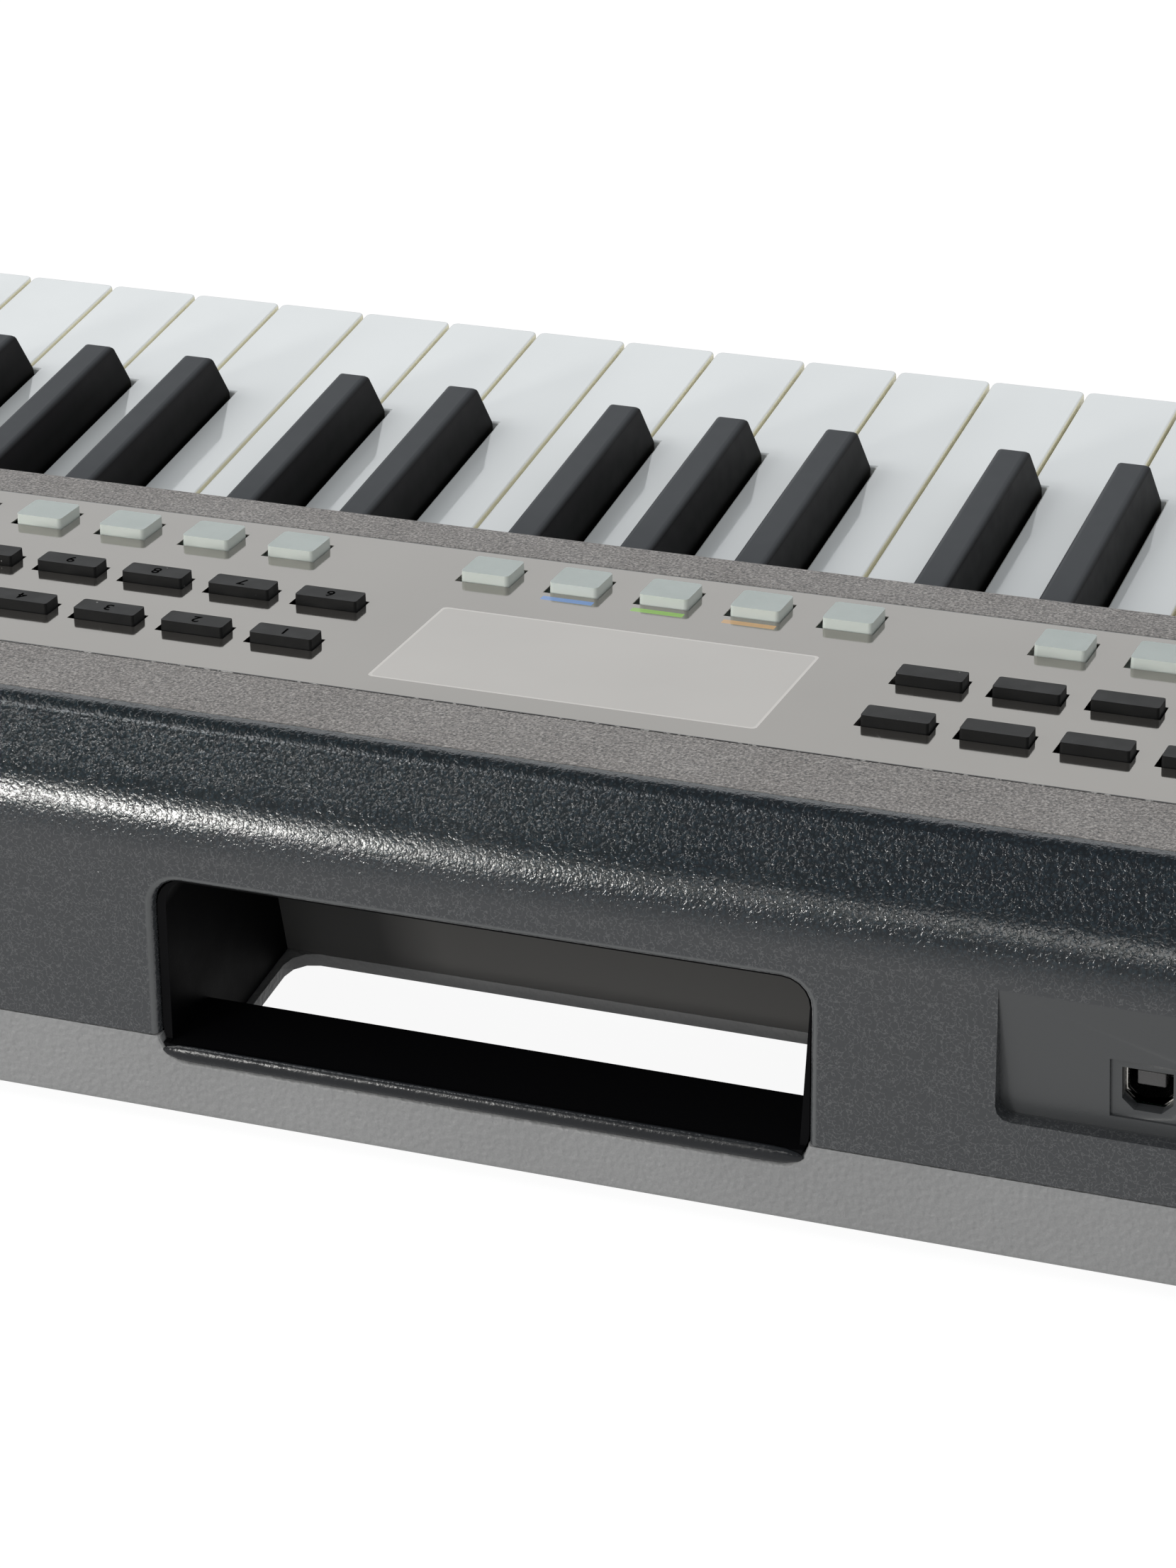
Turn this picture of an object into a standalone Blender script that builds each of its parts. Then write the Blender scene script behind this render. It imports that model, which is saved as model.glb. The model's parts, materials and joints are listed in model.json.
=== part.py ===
"""A portable keyboard with sixty-one keys, built as separate pieces.

Units are metres. X runs from the bass end to the treble end, Y from the player to the rear, Z up.
The origin is on the bench, under the middle of the case.
"""
import math

import bmesh
import bpy
from mathutils import Matrix, Vector

# Case
CHEEK_WIDTH = 0.0485        # case beside the keys, at each end
FOOT_HEIGHT = 0.004
WALL = 0.0025
SEAM_RISE = 0.0173          # split between the two case halves, above the case bottom
SEAM_GAP = 0.0003
PAST_SEAM = 0.020           # how far the hollows run past the split
PLAN_RADIUS = 0.014
BOTTOM_RADIUS = 0.004
REAR_BOTTOM_RADIUS = 0.0015
WALL_LEAN = math.radians(7.5)
SLOPE_ANGLE = math.radians(50)
RIDGE_RADIUS = 0.005
BEND_RADIUS = 0.025
RIDGE_FLAT = 0.0039         # from the panel's rear seam to the corner where the slope starts
SLOPE_RUN = 0.0130          # from that corner back to the corner where the rear wall starts
CHEEK_FRONT_RISE = 0.0495   # height of the cheeks' front corner above the case bottom
CHEEK_RADIUS = 0.008
CASE_ARC_STEPS = 5
PLAN_ARC_STEPS = 6

# Keys
WHITE_COUNT = 36
KEY_PITCH = 0.0235
KEY_GAP = 0.0008
KEY_TOP_RISE = 0.048        # white key tops above the case bottom
FRONT_LIP = 0.0246          # case front to the white key fronts
SLIP_BACK = 0.0031          # rear edge of the key slip before the white key fronts
SLIP_COVER = 0.0010         # key slip above the lower edge of the key fronts
HEAD_LENGTH = 0.0502
KEY_FRONT_DROP = 0.020
SKIRT_DROP = 0.014
KEY_TOP_WALL = 0.0022
KEY_SIDE_WALL = 0.0016
SHOULDER_Y = 0.150          # the key tops step down behind this line, under the panel
SPINE_FRONT_Y = 0.162
KEY_END_Y = 0.172
HINGE_Y = 0.169
TAIL_LOW = 0.012
TAIL_HIGH = 0.004
BLACK_FRONT_Y = 0.0512
BLACK_RISE = 0.0115
BLACK_SLOPE_RUN = 0.004
BLACK_WIDTH = 0.011
BLACK_TOP_WIDTH = 0.0074
BLACK_NOSE_RISE = 0.0008
BLACK_DROP = 0.008
BLACK_TOP_END_Y = 0.128
BLACK_REAR_TOP = 0.004
BLACK_REAR_BOTTOM = 0.002
SLOT_CLEARANCE = 0.0009
CHEEK_CLEARANCE = 0.0010    # case cheek to the outermost key pitch line
FIT_GAP = 0.0003
RUN_GAP = 0.0003

# Panel, measured along its slope from the seam between rail and film
PANEL_TILT = math.radians(8)
RAIL_RISE = 0.017           # front edge of the rail above the white key tops
RAIL_Y = 0.1313             # front edge of the rail behind the white key fronts
RAIL_WIDTH = 0.0147
FILM_WIDTH = 0.0836
STRIP_WIDTH = 0.0212
PANEL_THICKNESS = 0.0025
RAIL_LIP_DEPTH = 0.004
RAIL_RADIUS = 0.002
FILM_THICKNESS = 0.0005
FILM_HALF_LENGTH = 0.215
FILM_SEAM = 0.0002
LEDGE_WIDTH = 0.006
LEDGE_THICKNESS = 0.0025

# Buttons
PANEL_CENTRE_X = 0.0013
BUTTON_PITCH = 0.0204
PALE_GROUP_OFFSET = 0.0866  # panel centre to the innermost button of the outer groups
PALE_COUNT = 5
PALE_SIZE = (0.0112, 0.0104)
PALE_TOP = (0.0110, 0.0101)
PALE_RISE = 0.0022
PALE_V = 0.0134
DARK_FIRST_X = (-0.0647, 0.0685)  # innermost button of the group on each side
DARK_COUNT = 5
DARK_SIZE = (0.0143, 0.0062)
DARK_TOP = (0.0141, 0.0058)
DARK_RISE = 0.0022
DARK_ROWS_V = (0.0403, 0.0636)
HOLE_CLEARANCE = (0.0007, 0.0003)
HOLE_SHIFT = 0.0004         # the film's holes sit a little off the buttons
WINDOW_MARGIN = 0.0012
PAD_THICKNESS = 0.0012
PAD_FLANGE = 0.0025
BUTTON_TRAVEL = 0.0010
POWER_X = -0.195
POWER_V = 0.0134
POWER_SIZE = (0.012, 0.009)
POWER_RISE = 0.0022
POWER_TRAVEL = 0.0015

# Display
DISPLAY_X = 0.0031
DISPLAY_V = 0.0549
DISPLAY_GLASS = (0.0840, 0.0415)
DISPLAY_BASE = (0.095, 0.050)
DISPLAY_DEPTH = 0.0042
PANEL_BOARD_TOP = 0.0082    # below the panel's top face
BOARD_THICKNESS = 0.0016
PANEL_BOARD_X = (-0.206, 0.191)
PANEL_BOARD_V = (0.006, 0.080)
PANEL_BOSS_PLACES = ((-0.1815, 0.030), (-0.1815, 0.076), (0.1845, 0.010), (0.1845, 0.076))
PANEL_BOSS_RADIUS = 0.003

# Speakers and their grilles
SPEAKER_X = 0.350
SPEAKER_V = 0.0665
SPEAKER_SIZE = (0.118, 0.056)
SPEAKER_FLANGE = 0.003
SPEAKER_BASKET_DEPTH = 0.016
SPEAKER_MAGNET_RADIUS = 0.021
SPEAKER_MAGNET_DEPTH = 0.011
GRILLE_SLOTS = 9
GRILLE_SLOT = (0.104, 0.0026)
GRILLE_PITCH = 0.0056
SPEAKER_OVAL = 0.96          # corner radius as a share of half the speaker's width
BASKET_SCALE = 0.82
CONE_SCALE = 0.74

# Carrying handle at the rear
HANDLE_X = 0.0047
HANDLE_WIDTH = 0.1387
HANDLE_TOP = 0.0523         # opening's top above the case bottom
HANDLE_LIP_TOP = 0.0162
HANDLE_LIP_BOTTOM = 0.0128
HANDLE_FLOOR = 0.0022
HANDLE_RADIUS = 0.006
HANDLE_BAR_WIDTH = 0.0193   # grip bar, from the rear of the case
HANDLE_REACH = 0.0423       # grip bar to the outside of the tunnel's far wall
HANDLE_FAR_LEAN = 0.0065
HANDLE_WALL = 0.0020
HANDLE_MOUTH_MARGIN = 0.0035
HANDLE_SETBACK = 0.0018     # tunnel walls behind the rear wall's face, above the lip
HANDLE_STEP = 0.0002        # collar round the tunnel at the rear wall
HANDLE_ARC_STEPS = 5

# Rear sockets
RECESS_X = (-0.262, -0.1021)
RECESS_Z = (0.0296, 0.0600)  # above the case bottom
RECESS_DEPTH = 0.0037       # at the recess's bottom edge, where the rear wall leans out most
RECESS_RADIUS = 0.003
PAD_WALL = 0.003
USB_X = -0.1308
USB_Z = 0.0389
USB_SQUARE = (0.0144, 0.0130)
USB_SQUARE_DEPTH = 0.0006
USB_MOUTH = (0.0099, 0.0094)
USB_CHAMFER = 0.0023
USB_SHELL = (0.0124, 0.0116)
USB_DEPTH = 0.016
USB_CAVITY = (0.0089, 0.0084)
USB_CAVITY_DEPTH = 0.009
USB_TONGUE = (0.0056, 0.0032)
JACK_Z = 0.0413
PEDAL_X = -0.163
PHONES_X = -0.195
JACK_BODY = (0.014, 0.018)
JACK_COLLAR_RADIUS = 0.0046
JACK_BORE_RADIUS = 0.00325
JACK_BORE_DEPTH = 0.014
DC_X = -0.232
DC_BODY = (0.010, 0.012)
DC_COLLAR_RADIUS = 0.0042
DC_BORE_RADIUS = 0.00275
DC_BORE_DEPTH = 0.009
DC_PIN_RADIUS = 0.001
SOCKET_SIDES = 16

# Inside the case
FLOOR_THICKNESS = 0.003
FRAME_BASE = 0.0100         # underside of the key frame above the case bottom
FRAME_WALL = 0.0020
FRAME_HALF_LENGTH = 0.4215
FELT_Y = (0.014, 0.030)
FELT_THICKNESS = 0.0033
PRESS_ANGLE = math.radians(3.4)
CONTACT_Y = (0.060, 0.090)
CONTACT_STRIP_Y = (0.068, 0.082)
CONTACT_STRIP_HEIGHT = 0.004
RIB_HALF_WIDTH = 0.002
FRAME_BOSS_X = (0.390, 0.130)
FRAME_BOSS_Y = (0.044, 0.126)
BOSS_RADIUS = 0.004
MAIN_BOARD_X = (-0.275, -0.095)
MAIN_BOARD_DEPTH = 0.074
MAIN_BOARD_GAP = 0.0028     # board to the back of the recess pad
MAIN_BOARD_TOP = 0.0340     # above the case bottom
BOSS_INSET = 0.010
SHELF_MARGIN = 0.002        # key frame shelf beyond the felt and the contact board
FRAME_FRONT_LEDGE = 0.002
FRAME_REAR_REACH = 0.010

# Batteries
BAY_X = (0.107, 0.258)
BAY_Y = (0.206, 0.238)
BAY_DEPTH = 0.0186
BAY_WALL = 0.002
COVER_MARGIN = 0.0035
COVER_THICKNESS = 0.002

# Feet
FOOT_RADIUS = 0.010
FOOT_END_INSET = 0.0725     # foot centre from the end of the case
FOOT_SIDE_INSET = 0.030
FOOT_POCKET = 0.001

# Screw wells in the underside, below the bosses that carry the key frame
WELL_RADIUS = 0.0033
WELL_DEPTH = 0.0018

# Places that follow from the sizes above
CASE_BOTTOM = FOOT_HEIGHT
KEY_TOP = CASE_BOTTOM + KEY_TOP_RISE
SEAM = CASE_BOTTOM + SEAM_RISE
KEYBED_HALF = WHITE_COUNT * KEY_PITCH / 2
OPENING_HALF = KEYBED_HALF + CHEEK_CLEARANCE
LENGTH = 2 * (OPENING_HALF + CHEEK_WIDTH)
RIDGE_RUN = RAIL_WIDTH + FILM_WIDTH + STRIP_WIDTH + RIDGE_FLAT
BEND_RISE = RAIL_RISE + RIDGE_RUN * math.sin(PANEL_TILT) - SLOPE_RUN * math.tan(SLOPE_ANGLE)
DEPTH = (FRONT_LIP + RAIL_Y + RIDGE_RUN * math.cos(PANEL_TILT) + SLOPE_RUN
         + (BEND_RISE + KEY_TOP_RISE) * math.tan(WALL_LEAN))
FRONT = -DEPTH / 2
REAR = DEPTH / 2
KEY_FRONT = FRONT + FRONT_LIP
HINGE_Z = KEY_TOP - TAIL_LOW
FRONT_TRAVEL = HINGE_Y * math.sin(PRESS_ANGLE)
PANEL_ORIGIN = Vector((0, KEY_FRONT + RAIL_Y + RAIL_WIDTH * math.cos(PANEL_TILT),
                       KEY_TOP + RAIL_RISE + RAIL_WIDTH * math.sin(PANEL_TILT)))
PANEL_REAR_V = FILM_WIDTH + STRIP_WIDTH
BIG = 0.6

WHITE_NAMES = "cdefgab"
BLACK_AFTER = {0: "cs", 1: "ds", 3: "fs", 4: "gs", 5: "as"}
FIRST_OCTAVE = 2
SINGLE_OCTAVES = (4, 5)


# Scene and materials

def clear_scene():
    """Remove every object that the file starts with."""
    for item in list(bpy.data.objects):
        bpy.data.objects.remove(item, do_unlink=True)


def make_material(name, colour, roughness, metallic=0.0):
    """Return a Principled material with the given look."""
    material = bpy.data.materials.new(name)
    material.use_nodes = True
    shader = material.node_tree.nodes["Principled BSDF"]
    shader.inputs["Base Color"].default_value = (*colour, 1.0)
    shader.inputs["Roughness"].default_value = roughness
    shader.inputs["Metallic"].default_value = metallic
    return material


def make_materials():
    """Return the part's materials by name."""
    return {
        "black_case": make_material("black_case", (0.022, 0.024, 0.027), 0.38),
        "grey_case": make_material("grey_case", (0.30, 0.30, 0.30), 0.55),
        "taupe": make_material("taupe", (0.23, 0.21, 0.20), 0.60),
        "film": make_material("film", (0.42, 0.38, 0.35), 0.12),
        "glass": make_material("glass", (0.58, 0.55, 0.52), 0.10),
        "gloss_black": make_material("gloss_black", (0.012, 0.012, 0.014), 0.22),
        "white_key": make_material("white_key", (0.78, 0.79, 0.80), 0.18),
        "black_key": make_material("black_key", (0.020, 0.021, 0.024), 0.30),
        "pale_button": make_material("pale_button", (0.60, 0.66, 0.63), 0.35),
        "rubber": make_material("rubber", (0.030, 0.030, 0.031), 0.80),
        "steel": make_material("steel", (0.62, 0.61, 0.58), 0.25, 1.0),
        "board": make_material("board", (0.03, 0.16, 0.07), 0.50),
        "frame": make_material("frame", (0.10, 0.10, 0.11), 0.60),
        "felt": make_material("felt", (0.35, 0.05, 0.05), 0.95),
    }


# Outlines

def rounded(corners, steps=3):
    """Return a 2D outline with arcs at the corners given as (a, b, radius)."""
    outline = []
    count = len(corners)
    for i, corner in enumerate(corners):
        if len(corner) < 3 or corner[2] <= 0:
            outline.append((corner[0], corner[1]))
            continue
        here = Vector(corner[:2])
        back = (Vector(corners[i - 1][:2]) - here).normalized()
        ahead = (Vector(corners[(i + 1) % count][:2]) - here).normalized()
        half = back.angle(ahead) / 2
        centre = here + (back + ahead).normalized() * corner[2] / math.sin(half)
        start = (here + back * corner[2] / math.tan(half) - centre).normalized()
        end = (here + ahead * corner[2] / math.tan(half) - centre).normalized()
        for k in range(steps + 1):
            point = centre + start.slerp(end, k / steps) * corner[2]
            outline.append((point.x, point.y))
    return outline


def inset(corners, wall):
    """Move each edge of a counterclockwise outline inwards, with the radii reduced to match."""
    edges = []
    count = len(corners)
    for i, corner in enumerate(corners):
        a = Vector(corner[:2])
        b = Vector(corners[(i + 1) % count][:2])
        along = (b - a).normalized()
        edges.append((a + Vector((-along.y, along.x)) * wall, along))
    result = []
    for i, corner in enumerate(corners):
        p, d = edges[i - 1]
        q, e = edges[i]
        t = (q - p).cross(e) / d.cross(e)
        point = p + d * t
        radius = corner[2] - wall if len(corner) > 2 else 0
        result.append((point.x, point.y, max(radius, 0)))
    return result


def rectangle(low, high, radius=0.0):
    """Return a counterclockwise rectangle's corners."""
    return [(low[0], low[1], radius), (high[0], low[1], radius),
            (high[0], high[1], radius), (low[0], high[1], radius)]


def centred(centre, size, margin=(0.0, 0.0)):
    """Return the rectangle round a centre, with a margin on each side."""
    half = (size[0] / 2 + margin[0], size[1] / 2 + margin[1])
    return rectangle((centre[0] - half[0], centre[1] - half[1]), (centre[0] + half[0], centre[1] + half[1]))


def circle(centre, radius, sides=SOCKET_SIDES):
    """Return a regular outline round a centre."""
    turn = 2 * math.pi / sides
    return [(centre[0] + radius * math.cos((i + 0.5) * turn),
             centre[1] + radius * math.sin((i + 0.5) * turn)) for i in range(sides)]


def strip(path, wall):
    """Return the outline of a band of even thickness under a path drawn left to right."""
    lower = []
    for i, point in enumerate(path):
        here = Vector(point)
        normals = []
        for a, b in ((i - 1, i), (i, i + 1)):
            if a >= 0 and b < len(path):
                along = (Vector(path[b]) - Vector(path[a])).normalized()
                normals.append(Vector((along.y, -along.x)))
        middle = sum(normals, Vector((0, 0))).normalized()
        point = here + middle * wall / middle.dot(normals[0])
        lower.append((point.x, point.y))
    return list(reversed(path)) + lower


# Solids

def prism(bm, outline, axis, low, high):
    """Add a prism on a 2D outline to a bmesh, along X, Y or Z."""
    def place(point, level):
        if axis == "X":
            return (level, point[0], point[1])
        if axis == "Y":
            return (point[0], level, point[1])
        return (point[0], point[1], level)

    ring = [bm.verts.new(place(point, low)) for point in outline]
    face = bm.faces.new(ring)
    grown = bmesh.ops.extrude_face_region(bm, geom=[face])
    moved = [item for item in grown["geom"] if isinstance(item, bmesh.types.BMVert)]
    bmesh.ops.translate(bm, verts=moved, vec=Vector(place((0, 0), high - low)))


def frustum(bm, centre, low_size, high_size, low, high):
    """Add a block whose top and bottom sizes differ."""
    grid = []
    for size, level in ((low_size, low), (high_size, high)):
        grid.append([bm.verts.new((x, y, level)) for x, y, _ in centred(centre, size)])
    bm.faces.new(grid[0])
    bm.faces.new(grid[1])
    for i in range(4):
        j = (i + 1) % 4
        bm.faces.new((grid[0][i], grid[0][j], grid[1][j], grid[1][i]))


def finish_mesh(bm, name):
    """Turn a bmesh into a mesh whose faces point out."""
    bmesh.ops.recalc_face_normals(bm, faces=bm.faces[:])
    mesh = bpy.data.meshes.new(name)
    bm.to_mesh(mesh)
    bm.free()
    return mesh


def prisms(name, parts):
    """Return a mesh of prisms given as (outline, axis, low, high)."""
    bm = bmesh.new()
    for part in parts:
        prism(bm, *part)
    return finish_mesh(bm, name)


def box(low, high):
    """Return one box as a prism part along Z."""
    return (rectangle(low[:2], high[:2]), "Z", low[2], high[2])


def add_object(name, mesh, material=None, parent=None):
    """Link a mesh as a named object."""
    item = bpy.data.objects.new(name, mesh)
    bpy.context.scene.collection.objects.link(item)
    if material:
        item.data.materials.clear()
        item.data.materials.append(material)
    item.parent = parent
    return item


def add_tool(name, mesh, parent=None):
    """Link a mesh as a hidden helper for a Boolean."""
    item = add_object(name, mesh, parent=parent)
    item.hide_render = True
    item.display_type = "WIRE"
    return item


def combine(target, tool, operation):
    """Give an object a Boolean with a helper."""
    modifier = target.modifiers.new(tool.name, "BOOLEAN")
    modifier.operation = operation
    modifier.solver = "EXACT"
    modifier.object = tool


def cut(target, name, parts, parent=None):
    """Cut prisms out of an object."""
    combine(target, add_tool(name, prisms(name, parts), parent), "DIFFERENCE")


def weld(target, name, parts, parent=None):
    """Join prisms to an object."""
    combine(target, add_tool(name, prisms(name, parts), parent), "UNION")


def applied_mesh(item, name):
    """Return an object's evaluated mesh as a new mesh."""
    bpy.context.view_layer.update()
    graph = bpy.context.evaluated_depsgraph_get()
    mesh = bpy.data.meshes.new_from_object(item.evaluated_get(graph))
    mesh.name = name
    return mesh


def drop(items):
    """Remove helper objects that are no longer needed."""
    for item in items:
        bpy.data.objects.remove(item, do_unlink=True)


def set_origin(item, point):
    """Move an object's origin to a point and leave its shape in place."""
    item.data.transform(Matrix.Translation(-Vector(point)))
    item.location = point


def key_y(distance):
    """Return Y at a distance behind the white key fronts."""
    return KEY_FRONT + distance


def key_z(rise):
    """Return Z at a height above the white key tops."""
    return KEY_TOP + rise


def rear_wall_y(z):
    """Return the rear wall's outer face at a height."""
    return REAR - (z - CASE_BOTTOM) * math.tan(WALL_LEAN)


def foot_place(end, side):
    """Return a foot's centre, for end and side each -1 or 1."""
    return end * (LENGTH / 2 - FOOT_END_INSET), side * (DEPTH / 2 - FOOT_SIDE_INSET)


def handle_bar_y():
    """Return the front face of the grip bar."""
    return REAR - HANDLE_BAR_WIDTH


def handle_far_y():
    """Return the outside of the handle tunnel's far wall."""
    return handle_bar_y() - HANDLE_REACH


def recess_floor_y():
    """Return the floor of the socket recess."""
    return rear_wall_y(CASE_BOTTOM + RECESS_Z[0]) - RECESS_DEPTH


def main_board_y():
    """Return the main board's front and rear edges."""
    rear = recess_floor_y() - PAD_WALL - MAIN_BOARD_GAP
    return rear - MAIN_BOARD_DEPTH, rear


# Case outlines

def panel_point(v, n=0.0):
    """Return Y and Z of a place on the panel's slope."""
    y = PANEL_ORIGIN.y + v * math.cos(PANEL_TILT) - n * math.sin(PANEL_TILT)
    z = PANEL_ORIGIN.z + v * math.sin(PANEL_TILT) + n * math.cos(PANEL_TILT)
    return y, z


def upper_corners(bottom):
    """Return the upper case's outer corners in Y and Z, closed at a height."""
    ridge = panel_point(PANEL_REAR_V + RIDGE_FLAT)
    bend = (ridge[0] + SLOPE_RUN, ridge[1] - SLOPE_RUN * math.tan(SLOPE_ANGLE))
    return [(FRONT, bottom), (rear_wall_y(bottom), bottom), (*bend, BEND_RADIUS),
            (*ridge, RIDGE_RADIUS), panel_point(-RAIL_WIDTH),
            (FRONT, CASE_BOTTOM + CHEEK_FRONT_RISE, CHEEK_RADIUS)]


def lower_corners(top):
    """Return the lower case's outer corners in Y and Z, closed at a height."""
    return [(FRONT, CASE_BOTTOM, BOTTOM_RADIUS), (REAR, CASE_BOTTOM, REAR_BOTTOM_RADIUS),
            (rear_wall_y(top), top), (FRONT, top)]


def plan_prism(wall):
    """Return the case's rounded plan as a prism part, inset by a wall."""
    corners = rectangle((-LENGTH / 2 + wall, FRONT + wall), (LENGTH / 2 - wall, REAR - wall),
                        PLAN_RADIUS - wall)
    return (rounded(corners, PLAN_ARC_STEPS), "Z", -BIG, BIG)


def handle_outline(clearance, bottom, top):
    """Return the handle opening in X and Z, rounded at its top or its bottom."""
    low = (HANDLE_X - HANDLE_WIDTH / 2 - clearance, bottom)
    high = (HANDLE_X + HANDLE_WIDTH / 2 + clearance, top)
    return low, high


# Case halves

def build_upper_case(material, panel):
    """Build the black upper case: rear wall, slope, cheeks and the ledge under the panel."""
    half = LENGTH / 2
    bottom = SEAM + SEAM_GAP
    section = rounded(upper_corners(bottom), CASE_ARC_STEPS)
    case = add_object("upper_case", prisms("upper_case", [(section, "X", -half, half)]), material)
    combine(case, add_tool("upper_plan", prisms("upper_plan", [plan_prism(0)])), "INTERSECT")
    hollow = rounded(inset(upper_corners(SEAM - PAST_SEAM), WALL), 2)
    bulkhead = OPENING_HALF + WALL
    inner = add_tool("upper_hollow", prisms("upper_hollow", [
        (hollow, "X", -half + WALL, -bulkhead), (hollow, "X", -OPENING_HALF, OPENING_HALF),
        (hollow, "X", bulkhead, half - WALL)]))
    inner_plan = add_tool("upper_hollow_plan", prisms("upper_hollow_plan", [plan_prism(WALL)]))
    combine(inner, inner_plan, "INTERSECT")
    pad_back = recess_floor_y() - PAD_WALL
    pad_low, pad_high = CASE_BOTTOM + RECESS_Z[0] - WALL, CASE_BOTTOM + RECESS_Z[1]
    recess_pad = [(pad_back, pad_low), (rear_wall_y(pad_low) - WALL / 2, pad_low),
                  (rear_wall_y(pad_high) - WALL / 2, pad_high), (pad_back, pad_high)]
    combine(case, inner, "DIFFERENCE")
    opening = box((-OPENING_HALF, -BIG, -BIG), (OPENING_HALF, PANEL_REAR_V + FIT_GAP, BIG))
    cut(case, "panel_opening", [opening], panel)
    weld(case, "recess_pad", [(recess_pad, "X", RECESS_X[0] - WALL, RECESS_X[1] + WALL)])
    cut(case, "recess", [(rounded(rectangle((RECESS_X[0], CASE_BOTTOM + RECESS_Z[0]),
                                            (RECESS_X[1], CASE_BOTTOM + RECESS_Z[1]), RECESS_RADIUS)),
                         "Y", recess_floor_y(), REAR + WALL)])
    square = rectangle((USB_X - USB_SQUARE[0] / 2, CASE_BOTTOM + USB_Z - USB_SQUARE[1] / 2),
                       (USB_X + USB_SQUARE[0] / 2, CASE_BOTTOM + USB_Z + USB_SQUARE[1] / 2))
    cut(case, "usb_square", [(square, "Y", recess_floor_y() - USB_SQUARE_DEPTH, REAR)])
    holes = [(usb_outline(USB_MOUTH), "Y", pad_back - WALL, REAR)]
    collars = ((PEDAL_X, JACK_COLLAR_RADIUS), (PHONES_X, JACK_COLLAR_RADIUS), (DC_X, DC_COLLAR_RADIUS))
    for x, radius in collars:
        holes.append((circle((x, CASE_BOTTOM + JACK_Z), radius + FIT_GAP), "Y", pad_back - WALL, REAR))
    cut(case, "socket_holes", holes)
    low, high = handle_outline(FIT_GAP, SEAM - WALL, CASE_BOTTOM + HANDLE_TOP)
    corners = rectangle(low, high)
    corners[2] = (*high, HANDLE_RADIUS)
    corners[3] = (low[0], high[1], HANDLE_RADIUS)
    cut(case, "handle_opening", [(rounded(corners, HANDLE_ARC_STEPS), "Y", handle_bar_y(), REAR + WALL)])
    under = -PANEL_THICKNESS - FIT_GAP
    ledge_half = OPENING_HALF + WALL / 2
    weld(case, "panel_ledge", [box((-ledge_half, PANEL_REAR_V - LEDGE_WIDTH, under - LEDGE_THICKNESS),
                                   (ledge_half, PANEL_REAR_V + WALL, under))], panel)
    return case


def usb_outline(size):
    """Return the socket's outline in X and Z, with its two lower corners cut off."""
    x0, x1 = USB_X - size[0] / 2, USB_X + size[0] / 2
    z0, z1 = CASE_BOTTOM + USB_Z - size[1] / 2, CASE_BOTTOM + USB_Z + size[1] / 2
    return [(x0, z1), (x0, z0 + USB_CHAMFER), (x0 + USB_CHAMFER, z0), (x1 - USB_CHAMFER, z0),
            (x1, z0 + USB_CHAMFER), (x1, z1)]


def boss_places():
    """Return centre, foot and top of each boss that stands on the case floor."""
    floor = CASE_BOTTOM + FLOOR_THICKNESS
    places = []
    for x in FRAME_BOSS_X:
        for side in (-1, 1):
            for y in FRAME_BOSS_Y:
                places.append(((side * x, key_y(y)), floor, CASE_BOTTOM + FRAME_BASE - RUN_GAP))
    for x in (MAIN_BOARD_X[0] + BOSS_INSET, MAIN_BOARD_X[1] - BOSS_INSET):
        for y in (main_board_y()[0] + BOSS_INSET, main_board_y()[1] - BOSS_INSET):
            places.append(((x, y), floor, CASE_BOTTOM + MAIN_BOARD_TOP - BOARD_THICKNESS - RUN_GAP))
    return places


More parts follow.
